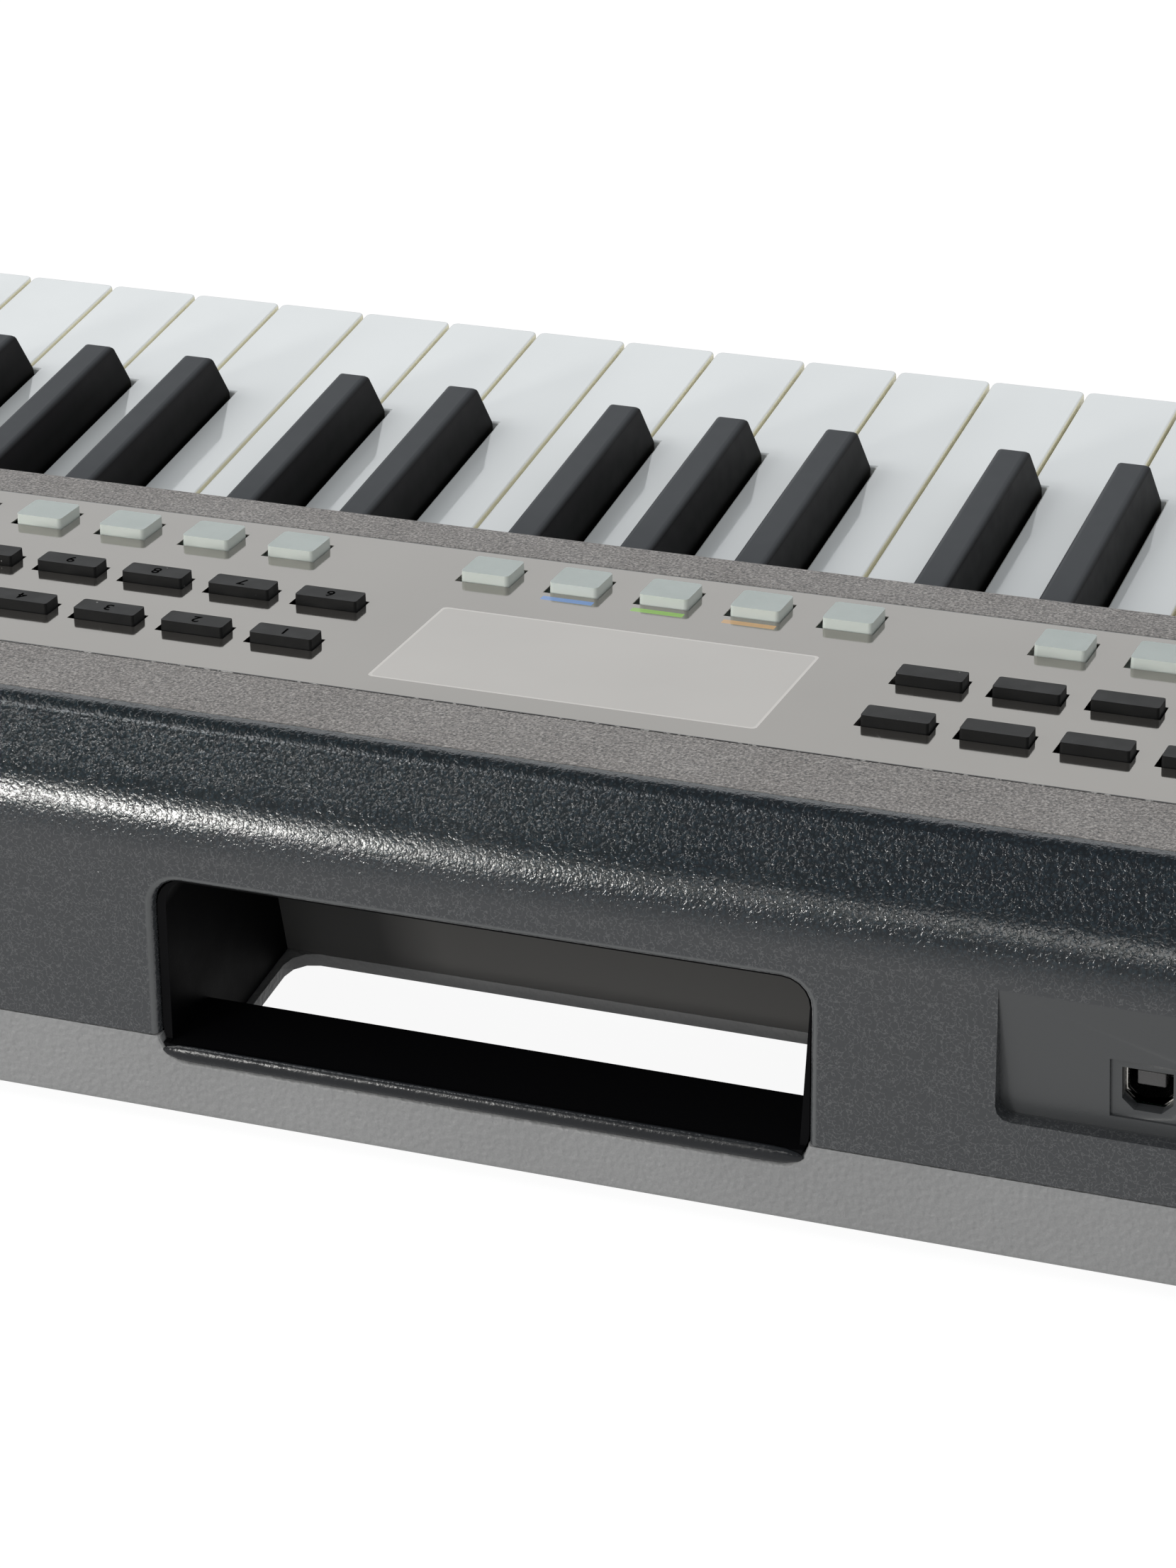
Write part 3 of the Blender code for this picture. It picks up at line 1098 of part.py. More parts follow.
def main():
    """Build every piece of the keyboard."""
    clear_scene()
    materials = make_materials()
    panel = bpy.data.objects.new("panel_plane", None)
    bpy.context.scene.collection.objects.link(panel)
    panel.location = PANEL_ORIGIN
    panel.rotation_euler = (PANEL_TILT, 0, 0)
    bpy.context.view_layer.update()
    build_upper_case(materials["black_case"], panel)
    build_lower_case(materials["grey_case"])
    build_panel(materials["taupe"], panel)
    build_film(materials["film"], panel)
    for name, centres, size, top, rise, slot in keypads():
        build_keypad(name, centres, size, top, rise, materials[slot], panel)
    build_power_button(materials["pale_button"], panel)
    build_display(materials["glass"], panel)
    build_panel_board(materials["board"], panel)
    build_speaker("bass_speaker", -1, materials["frame"], panel)
    build_speaker("treble_speaker", 1, materials["frame"], panel)
    build_keys(materials)
    build_key_bed(materials)
    build_handle(materials["gloss_black"])
    build_sockets(materials)
    build_inside(materials)


main()
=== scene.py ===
"""Looks of a portable keyboard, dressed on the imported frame.

Every piece is built from the frame's own nodes and boxes, in metres, and rides on the body that it belongs to.
X runs from the bass end to the treble end, Y from the player to the rear, and Z up.
"""

import json
import logging
import math
from collections.abc import Callable
from dataclasses import dataclass, field
from enum import Enum

import bmesh
import bpy
from mathutils import Matrix, Vector


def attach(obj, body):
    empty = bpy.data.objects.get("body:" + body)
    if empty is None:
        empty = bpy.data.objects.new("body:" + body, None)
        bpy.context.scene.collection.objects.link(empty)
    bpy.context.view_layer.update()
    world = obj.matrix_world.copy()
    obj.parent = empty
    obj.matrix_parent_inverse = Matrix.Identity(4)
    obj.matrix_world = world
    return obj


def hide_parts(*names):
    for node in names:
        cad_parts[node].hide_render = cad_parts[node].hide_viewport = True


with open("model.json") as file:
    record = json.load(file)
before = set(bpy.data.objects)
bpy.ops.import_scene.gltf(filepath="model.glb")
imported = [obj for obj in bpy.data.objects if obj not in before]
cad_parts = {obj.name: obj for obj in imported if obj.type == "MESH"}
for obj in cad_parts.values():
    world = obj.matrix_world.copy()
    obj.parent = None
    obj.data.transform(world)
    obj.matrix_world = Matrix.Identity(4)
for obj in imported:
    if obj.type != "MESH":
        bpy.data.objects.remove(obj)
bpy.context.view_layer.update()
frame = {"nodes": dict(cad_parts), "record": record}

log = logging.getLogger("keyboard")

Colour = tuple[float, float, float]
Point = tuple[float, float, float]
Pair = tuple[float, float]
Socket = bpy.types.NodeSocket

MERGE_DISTANCE = 1e-6
FLAT_ANGLE = math.radians(0.5)
EDGE_ANGLE = math.radians(28)
FACE_WEIGHT = 85
FACE_THRESHOLD = 2e-5
CASE = "case"


class Slot(Enum):
    """The record's material slots."""

    BLACK_CASE = "black_case"
    GREY_CASE = "grey_case"
    TAUPE_PANEL = "taupe_panel"
    PANEL_FILM = "panel_film"
    DISPLAY_GLASS = "display_glass"
    GLOSS_BLACK = "gloss_black"
    WHITE_KEY = "white_key"
    BLACK_KEY = "black_key"
    PALE_BUTTON = "pale_button"
    RUBBER = "rubber"
    STEEL = "steel"
    BOARD = "board"
    FRAME_PLASTIC = "frame_plastic"
    FELT = "felt"


class Axis(Enum):
    """The three axes, by their place in a vector."""

    X = 0
    Y = 1
    Z = 2


@dataclass(frozen=True)
class PanelPlane:
    """The tilted plane that the film, the display and the buttons lie on."""

    origin: Point = (0.0, 0.020518, 0.071046)
    tilt: float = math.radians(8)

    def matrix(self) -> Matrix:
        """Return the placement of the plane: X along it, Y up its slope from the rail's seam, Z out of it."""
        return Matrix.Translation(self.origin) @ Matrix.Rotation(self.tilt, 4, "X")


PANEL = PanelPlane()


class Shader:
    """A material's node tree with short calls to add and link nodes."""

    def __init__(self, name: str) -> None:
        """Start an empty material with a Principled shader and its output."""
        self.material = bpy.data.materials.new(name)
        self.material.use_nodes = True
        self.tree = self.material.node_tree
        self.surface = self.tree.nodes["Principled BSDF"]
        self.place = self.tree.nodes.new("ShaderNodeTexCoord").outputs["Object"]

    def node(self, kind: str, **values: object) -> bpy.types.Node:
        """Add a node and set its properties.

        Args:
            kind: The node's type.
            values: Properties of the node by name.

        Returns:
            The new node.
        """
        made = self.tree.nodes.new(kind)
        for name, value in values.items():
            setattr(made, name, value)
        return made

    def feed(self, socket: Socket, value: object) -> None:
        """Give a socket a link or a plain value."""
        if isinstance(value, bpy.types.NodeSocket):
            self.tree.links.new(value, socket)
        else:
            socket.default_value = value

    def maths(self, operation: str, first: object, second: object = 0.0, third: object = 0.0) -> Socket:
        """Add a Math node.

        Args:
            operation: The node's operation.
            first: A socket or a number.
            second: A socket or a number.
            third: A socket or a number.

        Returns:
            The node's output.
        """
        made = self.node("ShaderNodeMath", operation=operation)
        for socket, value in zip(made.inputs, (first, second, third)):
            self.feed(socket, value)
        return made.outputs[0]

    def spread(self, value: Socket, low: float, high: float, to_low: float = 0.0, to_high: float = 1.0) -> Socket:
        """Map a range of a value onto another range, clamped."""
        made = self.node("ShaderNodeMapRange", clamp=True)
        self.feed(made.inputs["Value"], value)
        for name, number in (("From Min", low), ("From Max", high), ("To Min", to_low), ("To Max", to_high)):
            made.inputs[name].default_value = number
        return made.outputs["Result"]

    def local(self, origin: Point, turn: Point = (0.0, 0.0, 0.0), scale: Point = (1.0, 1.0, 1.0)) -> Socket:
        """Return Object coordinates as seen from a turned and scaled frame."""
        made = self.node("ShaderNodeMapping", vector_type="TEXTURE")
        self.feed(made.inputs["Vector"], self.place)
        made.inputs["Location"].default_value = origin
        made.inputs["Rotation"].default_value = turn
        made.inputs["Scale"].default_value = scale
        return made.outputs["Vector"]

    def parts(self, vector: Socket) -> tuple[Socket, Socket, Socket]:
        """Split a vector into its three numbers."""
        made = self.node("ShaderNodeSeparateXYZ")
        self.feed(made.inputs[0], vector)
        return made.outputs[0], made.outputs[1], made.outputs[2]

    def noise(self, size: float, detail: float = 2.0, roughness: float = 0.5, place: Socket | None = None) -> Socket:
        """Add a noise whose lumps are about size metres across and return its value."""
        made = self.node("ShaderNodeTexNoise")
        self.feed(made.inputs["Vector"], place or self.place)
        made.inputs["Scale"].default_value = 1.0 / size
        made.inputs["Detail"].default_value = detail
        made.inputs["Roughness"].default_value = roughness
        return made.outputs["Fac"]

    def cells(self, size: float, smoothness: float = 0.4) -> Socket:
        """Add rounded cells about size metres across and return their distance value."""
        made = self.node("ShaderNodeTexVoronoi", feature="SMOOTH_F1")
        self.feed(made.inputs["Vector"], self.place)
        made.inputs["Scale"].default_value = 1.0 / size
        made.inputs["Smoothness"].default_value = smoothness
        return made.outputs["Distance"]

    def tile(self, place: Socket, centre: Pair, size: Pair, corner: float, edge: float) -> Socket:
        """Return a mask that is 1 inside a rounded rectangle of a frame's X and Y.

        Args:
            place: The frame's coordinates.
            centre: The rectangle's middle.
            size: Its full width and height.
            corner: The radius of its corners.
            edge: The width over which the mask falls off.

        Returns:
            The mask.
        """
        x, y, _ = self.parts(place)
        reach = []
        for value, middle, full in ((x, centre[0], size[0]), (y, centre[1], size[1])):
            away = self.maths("ABSOLUTE", self.maths("SUBTRACT", value, middle))
            reach.append(self.maths("MAXIMUM", self.maths("SUBTRACT", away, full / 2 - corner), 0.0))
        across = self.maths("SQRT", self.maths("ADD", self.maths("MULTIPLY", reach[0], reach[0]),
                                               self.maths("MULTIPLY", reach[1], reach[1])))
        return self.spread(across, corner - edge, corner, 1.0, 0.0)

    def blend(self, factor: object, first: object, second: object) -> Socket:
        """Mix two colours by a factor and return the colour."""
        made = self.node("ShaderNodeMix", data_type="RGBA")
        self.feed(made.inputs["Factor"], factor)
        for socket, value in ((made.inputs["A"], first), (made.inputs["B"], second)):
            self.feed(socket, value if isinstance(value, bpy.types.NodeSocket) else (*value, 1.0))
        return made.outputs["Result"]

    def bump(self, height: Socket, distance: float, strength: object = 1.0, under: Socket | None = None) -> Socket:
        """Add a bump and return its normal."""
        made = self.node("ShaderNodeBump")
        self.feed(made.inputs["Height"], height)
        made.inputs["Distance"].default_value = distance
        self.feed(made.inputs["Strength"], strength)
        if under is not None:
            self.feed(made.inputs["Normal"], under)
        return made.outputs["Normal"]

    def set(self, **values: object) -> None:
        """Feed the Principled shader's sockets, named with underscores for spaces."""
        for name, value in values.items():
            socket = self.surface.inputs[name.replace("_", " ")]
            if name == "Base_Color" and not isinstance(value, bpy.types.NodeSocket):
                value = (*value, 1.0)
            self.feed(socket, value)


def darker(colour: Colour, share: float) -> Colour:
    """Return a colour at a share of its strength."""
    return (colour[0] * share, colour[1] * share, colour[2] * share)


@dataclass(frozen=True)
class Moulded:
    """Moulded plastic with a fine even grain."""

    name: str
    colour: Colour
    roughness: float = 0.5
    grain: float = 0.0006
    height: float = 0.00004
    gloss: float = 0.5
    patch: float = 0.93

    def material(self) -> bpy.types.Material:
        """Build the material."""
        shader = Shader(self.name)
        tone = shader.noise(self.grain * 60, 3)
        shader.set(Base_Color=shader.blend(shader.spread(tone, 0.35, 0.65), self.colour,
                                           darker(self.colour, self.patch)),
                   Roughness=shader.spread(shader.noise(self.grain * 12), 0.3, 0.7, self.roughness - 0.04,
                                           self.roughness + 0.04),
                   Specular_IOR_Level=self.gloss,
                   Normal=shader.bump(shader.noise(self.grain, 1), self.height))
        return shader.material


@dataclass(frozen=True)
class PebbledCase:
    """Black plastic with a pebbled and wrinkled skin, smoother on the socket recess's floor, with painted shade,
    glints and highlights.
    """

    name: str = "pebbled_case_finish"
    # Black plastic tinted blue: the tint is a painted reflection of the pale sky.
    colour: Colour = (0.009, 0.018, 0.025)
    # Painted shade in the creases between pebbles.
    hollow: Colour = (0.002, 0.005, 0.008)
    # Painted light: the upright rear wall is coloured lighter than the slope.
    wall: Colour = (0.034, 0.036, 0.039)
    # Painted highlights along the wrinkle crests of the rear wall.
    crest: Colour = (0.104, 0.106, 0.109)
    # Painted glints on the slope.
    speck: Colour = (0.15, 0.17, 0.184)
    speck_grain: float = 2300.0
    floor: Colour = (0.046, 0.048, 0.050)
    pebble: float = 0.00080
    hill: float = 0.0009
    wrinkle: float = 0.0013
    crest_size: float = 0.0011
    crest_top: Pair = (0.0625, 0.0685)
    relief: float = 0.000082
    bend_top: Pair = (0.0745, 0.0775)
    bend_relief: float = 0.5
    fine: float = 0.0004
    roughness: float = 0.18
    gloss: float = 0.6
    # Painted highlight on the outer half of the rounded rim round the handle opening; the rim_ numbers place it.
    rim: Colour = (0.075, 0.078, 0.080)
    rim_centre: Pair = (0.0047, 0.02815)
    rim_size: Pair = (0.1393, 0.0563)
    rim_corner: float = 0.006
    rim_reach: float = 0.0017
    rim_start: float = 0.0007
    rim_y: float = 0.140
    recess_low: Point = (-0.262, 0.0, 0.033)
    recess_high: Point = (-0.102, 0.1432, 0.0612)
    recess_edge: float = 0.0006

    def recess(self, shader: Shader) -> Socket:
        """Return a mask of the smoother socket recess."""
        mask = None
        for value, low, high in zip(shader.parts(shader.place), self.recess_low, self.recess_high):
            for side in (shader.spread(value, low, low + self.recess_edge),
                         shader.spread(value, high - self.recess_edge, high, 1.0, 0.0)):
                mask = side if mask is None else shader.maths("MULTIPLY", mask, side)
        return mask

    def opening_rim(self, shader: Shader) -> Socket:
        """Return a mask of the painted highlight band on the rim round the handle opening."""
        x, y, z = shader.parts(shader.place)
        flat = shader.node("ShaderNodeCombineXYZ")
        shader.feed(flat.inputs[0], x)
        shader.feed(flat.inputs[1], z)
        masks = []
        for grown in (self.rim_reach, self.rim_start):
            size = (self.rim_size[0] + 2 * grown, self.rim_size[1] + 2 * grown)
            masks.append(shader.tile(flat.outputs[0], self.rim_centre, size, self.rim_corner + grown, 0.0004))
        band = shader.maths("SUBTRACT", masks[0], masks[1])
        return shader.maths("MULTIPLY", band, shader.spread(y, self.rim_y, self.rim_y + 0.0005))

    def material(self) -> bpy.types.Material:
        """Build the material."""
        shader = Shader(self.name)
        recess = self.recess(shader)
        rough = shader.maths("SUBTRACT", 1.0, recess)
        pebbles = shader.cells(self.pebble, 0.25)
        domes = shader.maths("MULTIPLY", shader.maths("MULTIPLY", pebbles, pebbles), -0.7)
        skin = shader.maths("MULTIPLY_ADD", shader.noise(self.wrinkle, 3, 0.6), 0.7, domes)
        skin = shader.maths("ADD", skin, shader.spread(shader.noise(self.hill, 2), 0.52, 0.66, 0.0, 0.7))
        height = shader.parts(shader.place)[2]
        strength = shader.maths("MULTIPLY", shader.maths("MULTIPLY_ADD", rough, 0.85, 0.15),
                                shader.spread(height, *self.bend_top, self.bend_relief, 1.0))
        coarse = shader.bump(skin, self.relief, strength)
        # Painted shade: the creases between pebbles are darker.
        tone = shader.blend(shader.spread(pebbles, 0.15, 0.6), self.colour, self.hollow)
        # Painted highlights along the wrinkle crests, on the wall only.
        away = shader.maths("ABSOLUTE", shader.maths("SUBTRACT", shader.noise(self.crest_size, 2), 0.5))
        painted_crest_mask = shader.maths("MULTIPLY", shader.spread(away, 0.0, 0.035, 0.7, 0.0), rough)
        upright = shader.spread(height, *self.crest_top, 1.0, 0.0)
        # Painted glints, scattered over the slope above the wall.
        specks = shader.maths("MULTIPLY", shader.spread(shader.noise(self.speck_grain, 2), 0.52, 0.68, 0.0, 0.8),
                              shader.maths("SUBTRACT", 1.0, upright))
        tone = shader.blend(specks, tone, self.speck)
        # Painted light: the wall below crest_top takes its lighter tone.
        tone = shader.blend(upright, tone, self.wall)
        tone = shader.blend(shader.maths("MULTIPLY", painted_crest_mask, upright), tone, self.crest)
        tone = shader.blend(recess, tone, self.floor)
        # Painted highlight on the opening's rim.
        tone = shader.blend(self.opening_rim(shader), tone, self.rim)
        wear = shader.spread(shader.noise(0.03, 3), 0.4, 0.7, 0.0, 0.05)
        base = shader.maths("ADD", wear, self.roughness)
        shader.set(Base_Color=tone,
                   Roughness=shader.maths("MULTIPLY_ADD", recess, 0.16, base),
                   Specular_IOR_Level=self.gloss,
                   Normal=shader.bump(shader.noise(self.fine, 1), 0.00002, 1.0, coarse))
        return shader.material


@dataclass(frozen=True)
class TunnelBlack:
    """The handle insert's black plastic, whose far wall has painted light, paler towards the floor as a painted
    reflection of it.
    """

    name: str = "tunnel_black_finish"
    colour: Colour = (0.003, 0.003, 0.0035)
    wall_high: Colour = (0.050, 0.049, 0.048)
    wall_low: Colour = (0.112, 0.110, 0.108)
    wall_y: float = 0.120
    wall_top: float = 0.052
    wall_foot: float = 0.012
    grain: float = 0.0007

    def material(self) -> bpy.types.Material:
        """Build the material."""
        shader = Shader(self.name)
        _, y, z = shader.parts(shader.place)
        facing = shader.parts(shader.node("ShaderNodeNewGeometry").outputs["True Normal"])[1]
        inside = shader.spread(y, self.wall_y - 0.0006, self.wall_y, 1.0, 0.0)
        # Painted light: the far wall, facing the rear, is coloured lighter than the rest of the tunnel, and paler
        # near the floor as a painted reflection of it.
        far = shader.maths("MULTIPLY", shader.spread(facing, 0.85, 0.95), inside)
        wall = shader.blend(shader.spread(z, self.wall_foot, self.wall_top), self.wall_low, self.wall_high)
        shader.set(Base_Color=shader.blend(far, self.colour, wall),
                   Roughness=shader.spread(shader.noise(0.012, 3), 0.3, 0.7, 0.5, 0.6),
                   Specular_IOR_Level=0.03,
                   Normal=shader.bump(shader.cells(self.grain), 0.00001))
        return shader.material


@dataclass(frozen=True)
class GreyBand:
    """Grey plastic with a soft leather grain."""

    name: str = "grey_band_finish"
    colour: Colour = (0.243, 0.243, 0.244)
    shade: Colour = (0.202, 0.202, 0.203)
    grain: float = 0.0014
    relief: float = 0.00022
    roughness: float = 0.46

    def material(self) -> bpy.types.Material:
        """Build the material."""
        shader = Shader(self.name)
        grain = shader.cells(self.grain, 0.7)
        fleck = shader.spread(shader.noise(0.0004, 1), 0.3, 0.7)
        patch = shader.spread(shader.noise(0.06, 3), 0.35, 0.65, 0.0, 0.5)
        tone = shader.blend(shader.maths("MULTIPLY_ADD", fleck, 0.35, patch), self.colour, self.shade)
        skin = shader.maths("MULTIPLY_ADD", shader.noise(self.grain * 0.7, 2), 0.8, grain)
        shader.set(Base_Color=tone,
                   Roughness=shader.spread(patch, 0.0, 0.5, self.roughness - 0.03, self.roughness + 0.05),
                   Specular_IOR_Level=0.45,
                   Normal=shader.bump(skin, self.relief))
        return shader.material


@dataclass(frozen=True)
class SandedPlate:
    """Taupe paint with a fine sand texture, and a dark line along its front edge."""

    name: str = "sanded_plate_finish"
    colour: Colour = (0.190, 0.173, 0.162)
    fleck: Colour = (0.40, 0.37, 0.35)
    pit: Colour = (0.055, 0.052, 0.051)
    line: Colour = (0.022, 0.021, 0.022)
    line_v: float = -0.0147
    line_width: float = 0.0005
    sand: float = 0.0006
    relief: float = 0.00018
    roughness: float = 0.42

    def material(self) -> bpy.types.Material:
        """Build the material."""
        shader = Shader(self.name)
        sand = shader.noise(self.sand, 2, 0.7)
        tone = shader.blend(shader.spread(sand, 0.50, 0.66), self.colour, self.fleck)
        tone = shader.blend(shader.spread(sand, 0.47, 0.33), tone, self.pit)
        _, slope, _ = shader.parts(shader.local(PANEL.origin, (PANEL.tilt, 0.0, 0.0)))
        edge = shader.spread(slope, self.line_v + self.line_width, self.line_v + 1.3 * self.line_width, 1.0, 0.0)
        shader.set(Base_Color=shader.blend(edge, tone, self.line),
                   Metallic=0.25,
                   Roughness=shader.spread(shader.noise(0.02, 3), 0.3, 0.7, self.roughness - 0.04,
                                           self.roughness + 0.06),
                   Specular_IOR_Level=0.5,
                   Normal=shader.bump(shader.cells(self.sand, 0.5), self.relief))
        return shader.material


@dataclass(frozen=True)
class Print:
    """A plain printed bar on the film, on the panel's plane."""

    centre: Pair
    size: Pair
    colour: Colour


@dataclass(frozen=True)
class MirrorFilm:
    """The smoked glossy film, with its clear window and three printed bars."""

    name: str = "mirror_film_finish"
    colour: Colour = (0.345, 0.325, 0.302)
    window: Colour = (0.54, 0.51, 0.48)
    border: Colour = (0.64, 0.605, 0.57)
    window_centre: Pair = (0.0031, 0.0549)
    window_size: Pair = (0.0840, 0.0415)
    window_corner: float = 0.0012
    border_width: float = 0.0006
    metal: float = 0.9
    roughness: float = 0.07
    chip: Colour = (0.75, 0.73, 0.70)
    edge_v: float = 0.0836
    chip_reach: float = 0.0005
    seam: Colour = (0.03, 0.028, 0.027)
    seam_width: float = 0.0005
    bars: tuple[Print, ...] = ()

    def scratches(self, shader: Shader) -> Socket:
        """Return a mask of fine rubbing marks in several directions."""
        marks = None
        for turn in (0.3, 1.1, 2.2):
            place = shader.local((0.0, 0.0, 0.0), (0.0, 0.0, turn), (0.03, 0.0009, 0.03))
            line = shader.spread(shader.noise(1.0, 2, 0.6, place), 0.66, 0.74)
            marks = line if marks is None else shader.maths("MAXIMUM", marks, line)
        return marks

    def material(self) -> bpy.types.Material:
        """Build the material."""
        shader = Shader(self.name)
        place = shader.local(PANEL.origin, (PANEL.tilt, 0.0, 0.0))
        outer = shader.tile(place, self.window_centre, self.window_size, self.window_corner, 0.0001)
        inner = shader.tile(place, self.window_centre, (self.window_size[0] - 2 * self.border_width,
                                                        self.window_size[1] - 2 * self.border_width),
                            self.window_corner, 0.0001)
        cloud = shader.spread(shader.noise(0.05, 3), 0.3, 0.7)
        glass = shader.blend(cloud, self.window, darker(self.window, 0.94))
        tone = shader.blend(cloud, self.colour, darker(self.colour, 0.95))
        tone = shader.blend(outer, tone, self.border)
        tone = shader.blend(inner, tone, glass)
        printed = outer
        for bar in self.bars:
            mask = shader.tile(place, bar.centre, bar.size, 0.0003, 0.0001)
            tone = shader.blend(mask, tone, bar.colour)
            printed = shader.maths("MAXIMUM", printed, mask)
        _, slope, _ = shader.parts(place)
        near = shader.spread(slope, self.edge_v - self.chip_reach, self.edge_v)
        chips = shader.maths("MULTIPLY", near, shader.spread(shader.noise(0.0022, 3, 0.7), 0.56, 0.62))
        rim = shader.maths("MAXIMUM", shader.spread(slope, self.seam_width, 1.4 * self.seam_width, 1.0, 0.0),
                           shader.spread(slope, self.edge_v - 1.2 * self.seam_width, self.edge_v - self.seam_width))
        tone = shader.blend(rim, tone, self.seam)
        tone = shader.blend(chips, tone, self.chip)
        printed = shader.maths("MAXIMUM", printed, shader.maths("MAXIMUM", rim, chips))
        marks = self.scratches(shader)
        rough = shader.maths("MULTIPLY_ADD", marks, 0.06, shader.spread(cloud, 0.0, 1.0, self.roughness,
                                                                        self.roughness + 0.03))
        shader.set(Base_Color=tone,
                   Metallic=shader.maths("MULTIPLY_ADD", printed, -self.metal, self.metal),
                   Roughness=rough,
                   Specular_IOR_Level=0.5,
                   Normal=shader.bump(shader.noise(0.018, 2), 0.00003))
        return shader.material


@dataclass(frozen=True)
class KeyGloss:
    """Glossy key plastic whose upright sides carry painted light: lighter and warmer, or darker with painted shade at
    the foot.
    """

    name: str
    colour: Colour
    # Side colour, painted light: lighter and warmer than the top on white keys, darker than the top on black keys.
    side: Colour
    roughness: float
    gloss: float = 0.5
    waviness: float = 0.00002
    foot: Pair = (-1.0, -0.9)
    foot_shade: float = 0.3

    def material(self) -> bpy.types.Material:
        """Build the material."""
        shader = Shader(self.name)
        facing = shader.parts(shader.node("ShaderNodeNewGeometry").outputs["Normal"])[0]
        upright = shader.spread(shader.maths("ABSOLUTE", facing), 0.45, 0.95)
        cloud = shader.spread(shader.noise(0.04, 2), 0.35, 0.65)
        tone = shader.blend(cloud, self.colour, darker(self.colour, 0.975))
        # Painted shade: the sides darken below the foot range.
        above = shader.spread(shader.parts(shader.place)[2], *self.foot)
        side = shader.blend(above, darker(self.side, self.foot_shade), self.side)
        shader.set(Base_Color=shader.blend(upright, tone, side),
                   Roughness=shader.spread(shader.noise(0.004, 3), 0.3, 0.7, self.roughness,
                                           self.roughness + 0.05),
                   Specular_IOR_Level=self.gloss,
                   Normal=shader.bump(shader.noise(0.012, 2), self.waviness))
        return shader.material


@dataclass(frozen=True)
class PaleButton:
    """Milky translucent plastic, whose upright sides are painted brighter: a painted glow of light passing through.
    """

    name: str = "pale_button_finish"
    colour: Colour = (0.43, 0.475, 0.455)
    cloud: Colour = (0.405, 0.45, 0.43)
    # Painted glow of the upright sides.
    side: Colour = (0.60, 0.64, 0.60)
    roughness: float = 0.33

    def material(self) -> bpy.types.Material:
        """Build the material."""
        shader = Shader(self.name)
        tone = shader.blend(shader.spread(shader.noise(0.006, 2), 0.35, 0.65), self.colour, self.cloud)
        painted_light_facing = shader.parts(shader.node("ShaderNodeNewGeometry").outputs["Normal"])[2]
        # Painted light: faces that turn sideways take the brighter side colour.
        shader.set(Base_Color=shader.blend(shader.spread(painted_light_facing, 0.35, 0.85, 1.0, 0.0), tone, self.side),
                   Roughness=shader.spread(shader.noise(0.0006, 2), 0.3, 0.7, self.roughness,
                                           self.roughness + 0.08),
                   Specular_IOR_Level=0.5,
                   Subsurface_Weight=0.25,
                   Subsurface_Radius=(0.0012, 0.0014, 0.0013),
                   Normal=shader.bump(shader.noise(0.0005, 1), 0.00001))
        return shader.material


@dataclass(frozen=True)
class DustyRubber:
    """Black rubber with a few dust specks, and painted shade on its upright sides."""

    name: str = "dusty_rubber_finish"
    colour: Colour = (0.030, 0.030, 0.030)
    # Painted shade of the upright sides.
    side: Colour = (0.008, 0.008, 0.008)
    dust: Colour = (0.35, 0.34, 0.33)
    roughness: float = 0.6
    gloss: float = 0.18

    def material(self) -> bpy.types.Material:
        """Build the material."""
        shader = Shader(self.name)
        speck = shader.spread(shader.noise(0.0009, 1, 0.4), 0.79, 0.83)
        bloom = shader.spread(shader.noise(0.004, 3), 0.35, 0.7)
        tone = shader.blend(bloom, self.colour, darker(self.colour, 1.25))
        painted_light_facing = shader.parts(shader.node("ShaderNodeNewGeometry").outputs["Normal"])[2]
        # Painted shade: faces that turn sideways take the darker side colour.
        tone = shader.blend(shader.spread(painted_light_facing, 0.2, 0.85, 1.0, 0.0), tone, self.side)
        shader.set(Base_Color=shader.blend(speck, tone, self.dust),
                   Roughness=shader.spread(bloom, 0.0, 1.0, self.roughness - 0.05, self.roughness + 0.08),
                   Specular_IOR_Level=self.gloss,
                   Normal=shader.bump(shader.noise(0.0004, 1), 0.000015))
        return shader.material


@dataclass(frozen=True)
class BrushedMetal:
    """Plated metal with fine brushing along X."""

    name: str
    colour: Colour
    roughness: float = 0.22

    def material(self) -> bpy.types.Material:
        """Build the material."""
        shader = Shader(self.name)
        lines = shader.noise(1.0, 2, 0.6, shader.local((0.0, 0.0, 0.0), scale=(0.02, 0.0004, 0.0004)))
        shader.set(Base_Color=shader.blend(shader.spread(lines, 0.3, 0.7), self.colour, darker(self.colour, 0.85)),
                   Metallic=1.0,
                   Roughness=shader.spread(lines, 0.3, 0.7, self.roughness, self.roughness + 0.12),
                   Normal=shader.bump(lines, 0.00001))
        return shader.material


